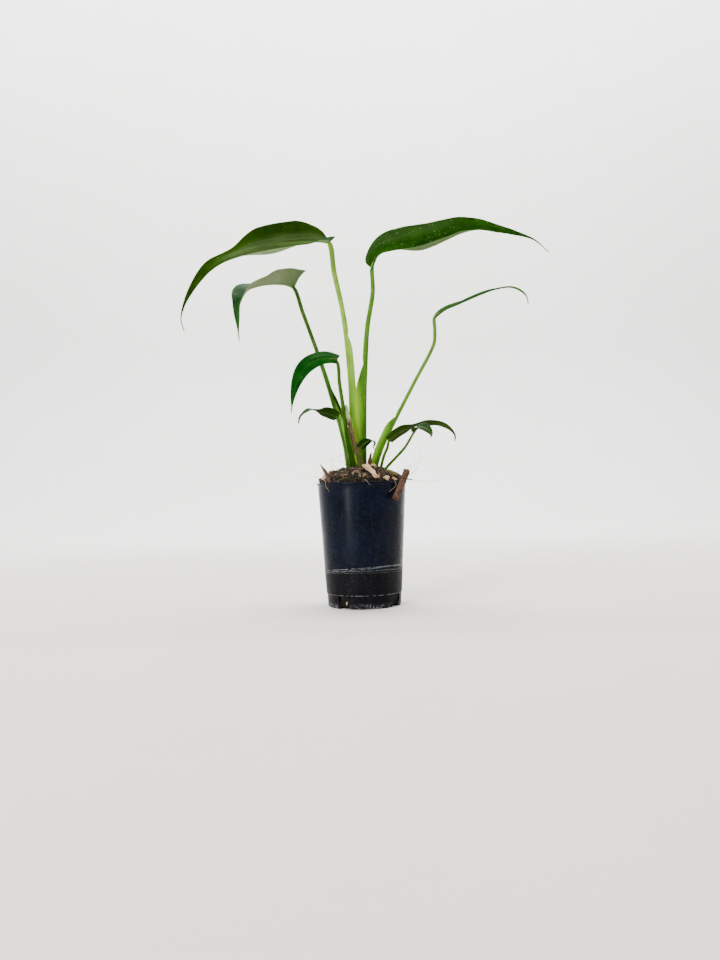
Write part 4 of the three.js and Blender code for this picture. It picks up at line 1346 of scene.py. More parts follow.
class Graph:
    """Short calls for building a node tree, of a material or of a group."""

    def __init__(self, tree: Tree, material: Material | None = None) -> None:
        """Keeps the tree, and the material that it belongs to if there is one."""
        self.tree = tree
        self.material = material

    def join(self, source: Input, target: Socket) -> None:
        """Links a socket to a target, or sets a plain value on it."""
        if isinstance(source, Socket):
            self.tree.links.new(source, target)
        else:
            target.default_value = source

    def node(
        self, kind: str, inputs: Mapping[int | str, Input] | None = None, **settings: object
    ) -> bpy.types.Node:
        """Adds a node.

        Args:
            kind: Its type's name.
            inputs: Sockets or values for its inputs, by name or number.
            settings: Values for its own properties.

        Returns:
            The node.
        """
        made = self.tree.nodes.new(kind)
        for key, value in settings.items():
            setattr(made, key, value)
        for key, source in (inputs or {}).items():
            self.join(source, made.inputs[key])
        return made

    def group(self, group: Tree, **inputs: Input) -> bpy.types.bpy_prop_collection:
        """Places a node group and returns its outputs."""
        return self.node("ShaderNodeGroup", inputs, node_tree=group).outputs

    def math(self, operation: str, first: Input, second: Input = 0.0, third: Input = 0.0) -> Socket:
        """One step of arithmetic."""
        inputs = {0: first, 1: second, 2: third}
        return self.node("ShaderNodeMath", inputs, operation=operation).outputs[0]

    def times(self, first: Input, second: Input) -> Socket:
        """The product of two values."""
        return self.math("MULTIPLY", first, second)

    def scaled(self, value: Input, by: Input, plus: Input) -> Socket:
        """A value times one number, plus another."""
        return self.math("MULTIPLY_ADD", value, by, plus)

    def most(self, first: Input, second: Input) -> Socket:
        """The larger of two values."""
        return self.math("MAXIMUM", first, second)

    def ramp(self, value: Input, stops: Sequence[tuple[float, Sequence[float]]]) -> Socket:
        """A colour that runs through stops, each a position and a linear colour."""
        made = self.node("ShaderNodeValToRGB", {0: value})
        elements = made.color_ramp.elements
        for _ in range(len(stops) - 2):
            elements.new(0.5)
        for element, (position, colour) in zip(elements, stops, strict=True):
            element.position = position
            element.color = colour
        return made.outputs["Color"]

    def mix(self, factor: Input, first: Input, second: Input, mode: str = "MIX") -> Socket:
        """A mix of two colours."""
        made = self.node("ShaderNodeMix", data_type="RGBA", blend_type=mode)
        self.join(factor, made.inputs[0])
        self.join(first, made.inputs[6])
        self.join(second, made.inputs[7])
        return made.outputs[2]

    def tint(self, base: Input, mask: Input, strength: float, colour: Rgb) -> Socket:
        """A colour with another laid on it where a mask says, at a strength."""
        return self.mix(self.times(mask, strength), base, srgb(colour))

    def span(
        self, value: Input, low: float, high: float, to_low: float = 0.0, to_high: float = 1.0
    ) -> Socket:
        """A value eased from one range to another, held at the ends."""
        inputs = {"Value": value, "From Min": low, "From Max": high, "To Min": to_low, "To Max": to_high}
        return self.node("ShaderNodeMapRange", inputs, interpolation_type="SMOOTHSTEP").outputs["Result"]

    def place(self) -> Socket:
        """The point in the object's own space, in metres."""
        return self.node("ShaderNodeTexCoord").outputs["Object"]

    def part(self, vector: Input, axis: str) -> Socket:
        """One of a vector's numbers, by its letter."""
        return self.node("ShaderNodeSeparateXYZ", {0: vector}).outputs[axis]

    def number(self, name: str) -> Socket:
        """A number kept with the piece's points."""
        return self.node("ShaderNodeAttribute", attribute_name=name).outputs["Fac"]

    def noise(self, vector: Input, scale: Input, detail: float = 3.0, roughness: float = 0.5) -> Socket:
        """Soft noise from 0 to 1."""
        inputs = {"Vector": vector, "Scale": scale, "Detail": detail, "Roughness": roughness}
        return self.node("ShaderNodeTexNoise", inputs).outputs["Fac"]

    def stretch(self, vector: Input, scale: Point) -> Socket:
        """A vector scaled along each axis."""
        return self.node("ShaderNodeMapping", {"Vector": vector, "Scale": scale}).outputs[0]

    def bump(self, height: Input, depth_mm: float, strength: float = 1.0) -> Socket:
        """A surface direction from a height of 0 to 1 that stands for a depth."""
        inputs = {"Strength": strength, "Distance": depth_mm * MM, "Height": height}
        return self.node("ShaderNodeBump", inputs).outputs["Normal"]


    def soften(self, weight: float, radius: Point, scale: float) -> None:
        """Lets light pass a little way under the surface, each colour by its own distance."""
        values = {"Weight": weight, "Radius": radius, "Scale": scale}
        for key, value in values.items():
            self.tree.nodes[SHADER].inputs[f"Subsurface {key}"].default_value = value

    def surfaced(
        self, colour: Input, roughness: Input, specular: float, normal: Input | None = None
    ) -> Material:
        """Joins the finished channels to the material's shader.

        Args:
            colour: Base colour.
            roughness: Roughness.
            specular: Strength of the plain reflection, the same all over.
            normal: Surface direction, where it is not the mesh's own.

        Returns:
            The material.
        """
        shader = self.tree.nodes[SHADER]
        self.join(colour, shader.inputs["Base Color"])
        self.join(roughness, shader.inputs["Roughness"])
        shader.inputs["Specular IOR Level"].default_value = specular
        if normal is not None:
            self.join(normal, shader.inputs["Normal"])
        return self.material


def new_material(name: str) -> Graph:
    """An empty material, as the graph that its nodes go into."""
    material = bpy.data.materials.new(name)
    material.use_nodes = True
    return Graph(material.node_tree, material)


GROUPS: dict[str, Tree] = {}


def shared_group(
    name: str,
    inputs: Mapping[str, float | None],
    outputs: Sequence[str],
    wire: Callable[[Graph, Sockets], Sockets],
) -> Tree:
    """Builds a node group once.

    Args:
        name: The group's name.
        inputs: Names of its inputs with their usual value, or None for a vector.
        outputs: Names of its outputs, all numbers.
        wire: Builds the nodes and returns the socket for each output.

    Returns:
        The group.
    """
    if name in GROUPS:
        return GROUPS[name]
    tree = bpy.data.node_groups.new(name, "ShaderNodeTree")
    for key, value in inputs.items():
        kind = "NodeSocketVector" if value is None else "NodeSocketFloat"
        socket = tree.interface.new_socket(name=key, in_out="INPUT", socket_type=kind)
        if value is not None:
            socket.default_value = value
    for key in outputs:
        tree.interface.new_socket(name=key, in_out="OUTPUT", socket_type="NodeSocketFloat")
    graph = Graph(tree)
    entry = graph.node("NodeGroupInput")
    leave = graph.node("NodeGroupOutput")
    for key, socket in wire(graph, {key: entry.outputs[key] for key in inputs}).items():
        graph.join(socket, leave.inputs[key])
    GROUPS[name] = tree
    return tree


def mottle_group() -> Tree:
    """Uneven colour: broad noise with a finer one on it, spread to 0 to 1."""

    def wire(graph: Graph, socket: Sockets) -> Sockets:
        """Mixes the broad noise with the fine one."""
        broad = graph.noise(socket["Vector"], socket["Scale"], 2.0)
        fine = graph.noise(socket["Vector"], graph.times(socket["Scale"], 6.3), 4.0, 0.6)
        both = graph.scaled(fine, 0.35, graph.times(broad, 0.65))
        return {"Value": graph.span(both, 0.34, 0.66)}

    return shared_group("mottle", {"Vector": None, "Scale": 60.0}, ["Value"], wire)


def speck_group() -> Tree:
    """Scattered round specks: cells whose own number is high, out to a radius round their centre."""

    def wire(graph: Graph, socket: Sockets) -> Sockets:
        """Marks the picked cells near their centres."""
        cell = graph.node("ShaderNodeTexVoronoi", {"Vector": socket["Vector"], "Scale": socket["Scale"]})
        own = graph.part(cell.outputs["Color"], "X")
        picked = graph.math("GREATER_THAN", own, graph.math("SUBTRACT", 1.0, socket["Share"]))
        size = graph.scaled(graph.part(cell.outputs["Color"], "Y"), 0.2, 0.08)
        near = graph.math("LESS_THAN", cell.outputs["Distance"], size)
        return {"Mask": graph.times(picked, near)}

    return shared_group("specks", {"Vector": None, "Scale": 900.0, "Share": 0.2}, ["Mask"], wire)


def fibre_group() -> Tree:
    """Lines along one way: noise that has been stretched, sharpened to thin streaks."""

    def wire(graph: Graph, socket: Sockets) -> Sockets:
        """Mixes two stretched noises."""
        broad = graph.noise(socket["Vector"], socket["Scale"], 4.0, 0.65)
        fine = graph.noise(socket["Vector"], graph.times(socket["Scale"], 3.1), 3.0, 0.6)
        both = graph.scaled(fine, 0.4, graph.times(broad, 0.6))
        return {"Height": graph.span(both, 0.3, 0.7), "Streak": graph.span(both, 0.5, 0.62)}

    return shared_group("fibres", {"Vector": None, "Scale": 400.0}, ["Height", "Streak"], wire)


def vein_group() -> Tree:
    """Side veins of a blade: thin lines where (length along - 0.9 reach) / spacing is whole."""

    def wire(graph: Graph, socket: Sockets) -> Sockets:
        """Draws the side veins and the finer ones between them."""
        run = graph.times(socket["Along"], socket["Length"])
        swept_run = graph.math("SUBTRACT", run, graph.times(socket["Reach"], 0.9))
        wander = graph.noise(graph.place(), 90.0, 2.0)
        phase = graph.math("DIVIDE", graph.scaled(wander, 2.0, swept_run), socket["Spacing"])
        wave = graph.math("ABSOLUTE", graph.math("SINE", graph.times(phase, math.pi)))
        line = graph.span(wave, 0.0, 0.16, 1.0, 0.0)
        minor = graph.math("ABSOLUTE", graph.math("SINE", graph.times(phase, 4 * math.pi)))
        thin = graph.span(minor, 0.0, 0.5, 1.0, 0.0)
        return {"Line": line, "Minor": thin}

    inputs = {"Along": 0.5, "Length": 100.0, "Reach": 5.0, "Spacing": 5.2}
    return shared_group("veins", inputs, ["Line", "Minor"], wire)


@dataclass(frozen=True)
class BladeFinish:
    """Leaf skin: glossy green above with faint veins, matt grey-green below, with a painted sheen and painted
    shade on a base corner.
    """

    deep: Rgb = (30, 62, 6)
    fresh: Rgb = (58, 98, 14)
    # Painted sheen: the pale colour that stands in for light reflected off the upper face.
    painted_sheen: Rgb = (96, 120, 78)
    under: Rgb = (118, 134, 100)
    under_vein: Rgb = (78, 104, 52)
    rib: Rgb = (110, 150, 60)
    speck: Rgb = (176, 190, 150)
    # Painted shade: the dark bluish green of a base corner whose lobe lies in shade.
    ear_shade_colour: Rgb = (24, 58, 36)
    specks: float = 0.05
    # How strongly the painted sheen lies on the left half, the right half and beside the midrib.
    painted_sheen_left: float = 0.0
    painted_sheen_right: float = 0.0
    painted_sheen_middle: float = 0.0
    # Strength of the painted ear shade; its sign picks the half that it lies on.
    painted_ear_shade: float = 0.0
    # Where along the blade the painted sheen fades out.
    painted_sheen_end: float = 0.7
    rib_above: float = 0.25
    rib_below: float = 0.3
    roughness: float = 0.37
    roughness_below: float = 0.56
    specular: float = 0.03

    def build(self, leaf: Leaf) -> Material:
        """Makes the finish of one leaf.

        Args:
            leaf: The leaf, for its length and vein spacing.

        Returns:
            The material.
        """
        graph = new_material(f"leaf skin {leaf.name}")
        place, rib = graph.place(), graph.number("rib")
        run, across, reach = graph.number("along"), graph.number("across"), graph.number("reach")
        length = Route(leaf.blade.midrib).length()
        veins = graph.group(vein_group(), Along=run, Length=length, Reach=reach, Spacing=leaf.vein_spacing)
        mottle = graph.group(mottle_group(), Vector=place, Scale=70.0)["Value"]
        upper = graph.mix(mottle, srgb(self.deep), srgb(self.fresh))
        # Painted sheen: the reflection is laid into the colour of the upper face.
        upper = graph.mix(self._painted_sheen(graph, run, across, length), upper, srgb(self.painted_sheen))
        upper = graph.tint(upper, veins["Line"], 0.32, self.fresh)
        upper = graph.tint(upper, veins["Minor"], 0.16, self.deep)
        fade = graph.span(run, 0.02, 0.6, 1.6 * self.rib_above, 0.6 * self.rib_above)
        upper = graph.mix(graph.times(rib, fade), upper, srgb(self.rib))
        specks = graph.group(speck_group(), Vector=place, Scale=850.0, Share=self.specks)["Mask"]
        upper = graph.tint(upper, specks, 0.45, self.speck)
        under = graph.tint(srgb(self.under), veins["Line"], 0.6, self.under_vein)
        under = graph.tint(under, veins["Minor"], 0.25, self.under_vein)
        under = graph.tint(under, mottle, 0.3, self.under_vein)
        under = graph.mix(graph.span(run, 0.0, 0.2, 0.6, 0.0), under, srgb(self.under_vein))
        under = graph.tint(under, rib, self.rib_below, self.rib)
        # Painted shade: one half's base corner, where the lobe folds back out of the light, is darkened to
        # the ear shade colour.
        corner = graph.span(graph.times(across, math.copysign(1.0, self.painted_ear_shade)), 0.3, 0.5)
        corner = graph.times(corner, graph.span(run, 0.06, 0.13, abs(self.painted_ear_shade), 0.0))
        side = graph.span(graph.number("upper"), 0.35, 0.65)
        skin = graph.mix(corner, graph.mix(side, under, upper), srgb(self.ear_shade_colour))
        gloss = graph.span(side, 0.0, 1.0, self.roughness_below, self.roughness)
        gloss = graph.scaled(mottle, 0.12, gloss)
        pores = graph.noise(place, 1500.0, 2.0)
        relief = graph.scaled(veins["Line"], -0.6, graph.times(pores, 0.25))
        graph.soften(0.12, (0.4, 1.0, 0.2), 0.0008)
        return graph.surfaced(skin, gloss, self.specular, graph.bump(relief, 0.12))

    def _painted_sheen(self, graph: Graph, run: Socket, across: Socket, length: float) -> Socket:
        """How far the painted sheen, a pale reflection painted into the upper face's colour, covers each
        spot: bands along the blade, broken into streaks.
        """
        flat = graph.node("ShaderNodeCombineXYZ", {0: graph.times(run, length * MM), 1: across})
        stretched = graph.stretch(flat.outputs[0], (14, 22, 1))
        streaks = graph.group(fibre_group(), Vector=stretched, Scale=2.0)
        left = graph.times(graph.span(across, -0.15, -0.5), self.painted_sheen_left)
        right = graph.times(graph.span(across, 0.15, 0.5), self.painted_sheen_right)
        middle = graph.span(graph.math("ABSOLUTE", across), 0.1, 0.6, self.painted_sheen_middle, 0.0)
        streak = graph.span(streaks["Height"], 0.2, 0.9, 0.15, 1.0)
        reaches = graph.span(run, self.painted_sheen_end - 0.2, self.painted_sheen_end, 1.0, 0.0)
        bands = graph.most(graph.most(left, right), middle)
        return graph.times(graph.times(bands, streak), reaches)


@dataclass(frozen=True)
class StalkFinish:
    """Stalk skin: satin green with fine lengthwise lines, paler on the sheath wings."""

    foot: Rgb = (92, 140, 34)
    top: Rgb = (128, 160, 88)
    wing: Rgb = (160, 192, 92)
    name: str = "stalk skin"
    speck: Rgb = (214, 224, 180)

    def build(self) -> Material:
        """Makes the finish."""
        graph = new_material(self.name)
        place, run = graph.place(), graph.number("along")
        lines = graph.group(fibre_group(), Vector=graph.stretch(place, (1, 1, 0.03)), Scale=900.0)
        mottle = graph.group(mottle_group(), Vector=place, Scale=90.0)["Value"]
        dark = darker(self.foot)
        body = graph.mix(graph.span(run, 0.12, 0.75), srgb(self.foot), srgb(self.top))
        body = graph.tint(body, mottle, 0.4, dark)
        body = graph.mix(graph.span(run, 0.03, 0.2, 0.5, 0.0), body, srgb(dark))
        body = graph.mix(graph.span(graph.number("wing"), 0.35, 0.9, 0.0, 0.85), body, srgb(self.wing))
        body = graph.tint(body, lines["Streak"], 0.3, self.wing)
        specks = graph.group(speck_group(), Vector=place, Scale=1100.0, Share=0.1)["Mask"]
        body = graph.tint(body, specks, 0.4, self.speck)
        graph.soften(0.15, (0.6, 1.0, 0.3), 0.001)
        gloss = graph.scaled(mottle, 0.14, 0.36)
        return graph.surfaced(body, gloss, 0.03, graph.bump(lines["Height"], 0.05))


@dataclass(frozen=True)
class TideLine:
    """One line that drying water left on the pot."""

    drop: float
    tilt: float
    thickness: float
    strength: float
    wobble: float


@dataclass(frozen=True)
class PotFinish:
    """Navy-black moulded plastic with limescale lines, dust and fine scuffs."""

    line_height: float = 28.75
    slope: tuple[float, float] = (0.055, -0.079)
    step_height: float = 10.2
    navy: Rgb = (2, 6, 16)
    navy_light: Rgb = (4, 11, 26)
    wet_black: Rgb = (7, 7, 11)
    scuff: Rgb = (60, 68, 84)
    lime: Rgb = (170, 172, 172)
    lines: tuple[TideLine, ...] = (
        TideLine(drop=0.0, tilt=0.0, thickness=0.3, strength=0.62, wobble=1.0),
        TideLine(drop=0.9, tilt=0.02, thickness=0.26, strength=0.45, wobble=1.2),
        TideLine(drop=2.2, tilt=-0.035, thickness=0.26, strength=0.45, wobble=1.4),
        TideLine(drop=3.6, tilt=-0.05, thickness=0.22, strength=0.25, wobble=1.8),
    )

    def _tide(self, graph: Graph, place: Socket, line: TideLine) -> Socket:
        """A broken tilted line of limescale: 1 where height - slope × place is within its thickness."""
        lean_x, lean_y = self.slope
        level = graph.scaled(graph.part(place, "X"), -(lean_x + line.tilt), graph.part(place, "Z"))
        level = graph.scaled(graph.part(place, "Y"), -lean_y, level)
        wander = graph.math("SUBTRACT", graph.noise(place, 45.0, 2.0), 0.5)
        level = graph.scaled(wander, line.wobble * MM, level)
        off = graph.math("ABSOLUTE", graph.math("SUBTRACT", level, (self.line_height - line.drop) * MM))
        band = graph.span(off, 0.0, line.thickness * MM, 1.0, 0.0)
        breaks = graph.span(graph.noise(place, 260.0 + 40 * line.drop, 4.0, 0.7), 0.36, 0.6)
        return graph.times(graph.times(band, breaks), line.strength)

    def build(self) -> Material:
        """Makes the finish."""
        graph = new_material("pot plastic")
        place = graph.place()
        mottle = graph.group(mottle_group(), Vector=place, Scale=40.0)["Value"]
        height = graph.part(place, "Z")
        below = graph.span(height, (self.line_height - 2) * MM, (self.line_height + 1.5) * MM, 1.0, 0.0)
        body = graph.mix(mottle, srgb(self.navy), srgb(self.navy_light))
        body = graph.mix(below, body, srgb(self.wet_black))
        scuffs = graph.group(fibre_group(), Vector=graph.stretch(place, (1, 1, 0.12)), Scale=260.0)
        body = graph.tint(body, scuffs["Streak"], 0.05, self.scuff)
        dust = graph.group(speck_group(), Vector=place, Scale=1400.0, Share=0.1)["Mask"]
        fine_dust = graph.group(speck_group(), Vector=place, Scale=2400.0, Share=0.12)["Mask"]
        dirt = graph.most(graph.times(dust, 0.2), graph.times(fine_dust, 0.25))
        for line in self.lines:
            dirt = graph.most(dirt, self._tide(graph, place, line))
        # A pale broken line along the step's edge, laid into the dirt mask.
        edge = graph.math("ABSOLUTE", graph.math("SUBTRACT", height, self.step_height * MM))
        edge = graph.span(edge, 0.05 * MM, 0.4 * MM, 0.4, 0.0)
        step_line_breaks = graph.span(graph.noise(place, 300.0, 4.0, 0.7), 0.4, 0.6)
        dirt = graph.most(dirt, graph.times(edge, step_line_breaks))
        crust = graph.span(graph.noise(place, 800.0, 4.0, 0.75), 0.5, 0.64)
        crust = graph.times(crust, graph.span(height, 0.0, 5.0 * MM, 0.75, 0.0))
        dirt = graph.most(dirt, crust)
        body = graph.mix(dirt, body, srgb(self.lime))
        haze = graph.scaled(mottle, 0.1, graph.scaled(below, 0.16, 0.25))
        haze = graph.scaled(dirt, 0.35, haze)
        grain = graph.scaled(dirt, 0.6, graph.noise(place, 1400.0, 3.0))
        return graph.surfaced(body, haze, 0.06, graph.bump(grain, 0.03))


@dataclass(frozen=True)
class EarthFinish:
    """Dark crumbly matter, from near black to tan by each grain's own shade or by noise, and painted near
    black low down for the shade inside the pot.
    """

    name: str
    stops: tuple[tuple[float, Rgb], ...]
    by_grain: bool = False
    bump_mm: float = 0.3
    scale: float = 420.0
    # Painted shade: the near black of the soil low in the pot and in its drainage slots.
    deep: Rgb = (5, 3, 2)

    def build(self) -> Material:
        """Makes the finish."""
        graph = new_material(self.name)
        place = graph.place()
        mottle = graph.group(mottle_group(), Vector=place, Scale=self.scale)["Value"]
        value = mottle
        if self.by_grain:
            value = graph.scaled(mottle, 0.22, graph.times(graph.number("shade"), 0.8))
        colour = graph.ramp(value, [(position, srgb(rgb)) for position, rgb in self.stops])
        # Painted shade: below 90 mm the colour runs to near black, for the dark inside the pot and its slots.
        depth = graph.span(graph.part(place, "Z"), 0.06, 0.09, 0.85, 0.0)
        colour = graph.mix(depth, colour, srgb(self.deep))
        dull = graph.scaled(mottle, -0.15, 0.95)
        rough = graph.noise(place, self.scale * 4, 5.0, 0.7)
        return graph.surfaced(colour, dull, 0.25, graph.bump(rough, self.bump_mm))


@dataclass(frozen=True)
class WoodFinish:
    """Bark, split wood and dry sheath: streaks along the grain in two browns."""

    name: str
    dark: Rgb
    light: Rgb
    grain: Point = (1, 1, 0.12)
    scale: float = 700.0
    bump_mm: float = 0.2
    roughness: float = 0.9
    pale: Rgb | None = None
    pale_from: float = 0.0

    def build(self) -> Material:
        """Makes the finish."""
        graph = new_material(self.name)
        place = graph.place()
        lines = graph.group(fibre_group(), Vector=graph.stretch(place, self.grain), Scale=self.scale)
        mottle = graph.group(mottle_group(), Vector=place, Scale=260.0)["Value"]
        share = graph.scaled(mottle, 0.45, graph.times(lines["Height"], 0.55))
        colour = graph.mix(share, srgb(self.dark), srgb(self.light))
        pits = graph.group(speck_group(), Vector=place, Scale=1500.0, Share=0.15)["Mask"]
        colour = graph.tint(colour, pits, 0.5, darker(self.dark))
        if self.pale is not None:
            low, high = (self.pale_from - 4) * MM, (self.pale_from + 4) * MM
            top = graph.span(graph.part(place, "Z"), low, high, 0.0, 0.85)
            colour = graph.mix(top, colour, srgb(self.pale))
        dull = graph.scaled(mottle, -0.12, self.roughness)
        return graph.surfaced(colour, dull, 0.3, graph.bump(lines["Height"], self.bump_mm))


# Camera, light and floor


@dataclass(frozen=True)
class Camera:
    """The viewpoint: level with the pot's top, 0.6 m in front, a little rolled."""

    place: Point = (-1.2, -616.0, 88.25)
    pitch_deg: float = 0.8
    roll_deg: float = 1.47
    focal_px: float = 790.0
    image_height_px: float = 960.0
    sensor_mm: float = 36.0

    def build(self) -> None:
        """Makes the camera, with its up direction leaning to the right by the roll."""
        data = bpy.data.cameras.new("camera")
        data.sensor_width = self.sensor_mm
        data.lens = self.focal_px * self.sensor_mm / self.image_height_px
        data.clip_start = 0.01
        pitch, roll = math.radians(self.pitch_deg), math.radians(self.roll_deg)
        ahead = Vector((0, math.cos(pitch), math.sin(pitch)))
        level_up = Vector((0, -math.sin(pitch), math.cos(pitch)))
        level_right = Vector((1, 0, 0))
        up = level_up * math.cos(roll) + level_right * math.sin(roll)
        right = level_right * math.cos(roll) - level_up * math.sin(roll)
        made = bpy.data.objects.new("camera", data)
        turn = Matrix((right, up, -ahead)).transposed()
        made.matrix_world = Matrix.Translation(Vector(self.place) * MM) @ turn.to_4x4()
        bpy.context.scene.collection.objects.link(made)
        bpy.context.scene.camera = made


@dataclass(frozen=True)
class Lamp:
    """A soft rectangular lamp that faces a point."""

    name: str
    place: Point
    target: Point
    size: tuple[float, float]
    watts: float
    colour: tuple[float, float, float] = (1.0, 1.0, 1.0)

    def build(self) -> None:
        """Makes the lamp."""
        data = bpy.data.lights.new(self.name, "AREA")
        data.shape = "RECTANGLE"
        data.size, data.size_y = (side * MM for side in self.size)
        data.energy = self.watts
        data.color = self.colour
        made = bpy.data.objects.new(self.name, data)
        aim = (Vector(self.target) - Vector(self.place)).to_track_quat("-Z", "Y")
        made.matrix_world = Matrix.Translation(Vector(self.place) * MM) @ aim.to_matrix().to_4x4()
        bpy.context.scene.collection.objects.link(made)


@dataclass(frozen=True)
class Studio:
    """A pale floor that curves up into a backdrop, soft lamps and an even sky."""

    floor_depth: float = 1100.0
    bend: float = 500.0
    width: float = 7000.0
    wall_height: float = 2600.0
    front: float = 680.0
    sky_ahead: float = 0.06
    sky_behind: float = 0.6
    sky_seen: float = 2.4
    wall_colours: tuple[Rgb, Rgb] = ((233, 232, 229), (238, 237, 235))
    ground_colours: tuple[Rgb, Rgb] = ((206, 203, 198), (212, 209, 205))
    lamps: tuple[Lamp, ...] = (
        Lamp("key", (-750, -1000, 1250), (0, 0, 150), (800, 800), 34.0, (1.0, 0.985, 0.96)),
        Lamp("top", (100, 150, 1300), (0, 0, 150), (900, 700), 15.0),
        Lamp("side", (1300, -250, 500), (0, 0, 150), (500, 900), 7.0, (0.97, 0.985, 1.0)),
        Lamp("window", (-520, -700, 90), (0, 0, 60), (80, 150), 4.2, (0.95, 0.98, 1.0)),
        Lamp("wall", (0, 650, 1900), (0, 1600, 500), (3600, 500), 150.0),
    )

    def build(self) -> None:
        """Makes the floor sheet, the lamps and the sky."""
        bend = np.linspace(0, np.pi / 2, 24)
        curve_y = self.floor_depth + self.bend * np.sin(bend)
        y = np.concatenate([[-self.front, 0], curve_y, [self.floor_depth + self.bend]])
        z = np.concatenate([[0, 0], self.bend * (1 - np.cos(bend)), [self.wall_height]])
        x = np.linspace(-self.width / 2, self.width / 2, 3)
        grid = np.stack(np.broadcast_arrays(x[None], y[:, None], z[:, None]), axis=-1)
        floor = make_object("studio_floor", grid, sheet_faces(len(y), len(x)), outward=False)
        graph = new_material("studio floor")
        mottle = graph.group(mottle_group(), Vector=graph.place(), Scale=1.5)
        wall, ground = (
            graph.ramp(mottle["Value"], [(place, srgb(colour)) for place, colour in enumerate(pair)])
            for pair in (self.wall_colours, self.ground_colours)
        )
        near = graph.span(graph.part(graph.place(), "Y"), 0.2, 1.1, 1.0, 0.0)
        floor.data.materials.append(graph.surfaced(graph.mix(near, wall, ground), 0.9, 0.15))
        for lamp in self.lamps:
            lamp.build()
        self._build_sky()

    def _build_sky(self) -> None:
        """Makes the sky: bright above and behind the plant, dim on the viewer's side, even where seen."""
        world = bpy.data.worlds.new("sky")
        bpy.context.scene.world = world
        world.use_nodes = True
        graph = Graph(world.node_tree)
        way = graph.node("ShaderNodeTexCoord").outputs["Generated"]
        behind = graph.span(graph.part(way, "Y"), -0.5, 0.7, self.sky_ahead, self.sky_behind)
        above = graph.span(graph.part(way, "Z"), -0.1, 0.5, 0.2, 1.0)
        sky = world.node_tree.nodes["Background"]
        sky.inputs["Color"].default_value = (0.93, 0.95, 1.0, 1.0)
        seen = graph.node("ShaderNodeLightPath").outputs["Is Camera Ray"]
        lit = graph.times(graph.times(behind, above), graph.math("SUBTRACT", 1.0, seen))
        graph.join(graph.scaled(seen, self.sky_seen, lit), sky.inputs["Strength"])


# The plant


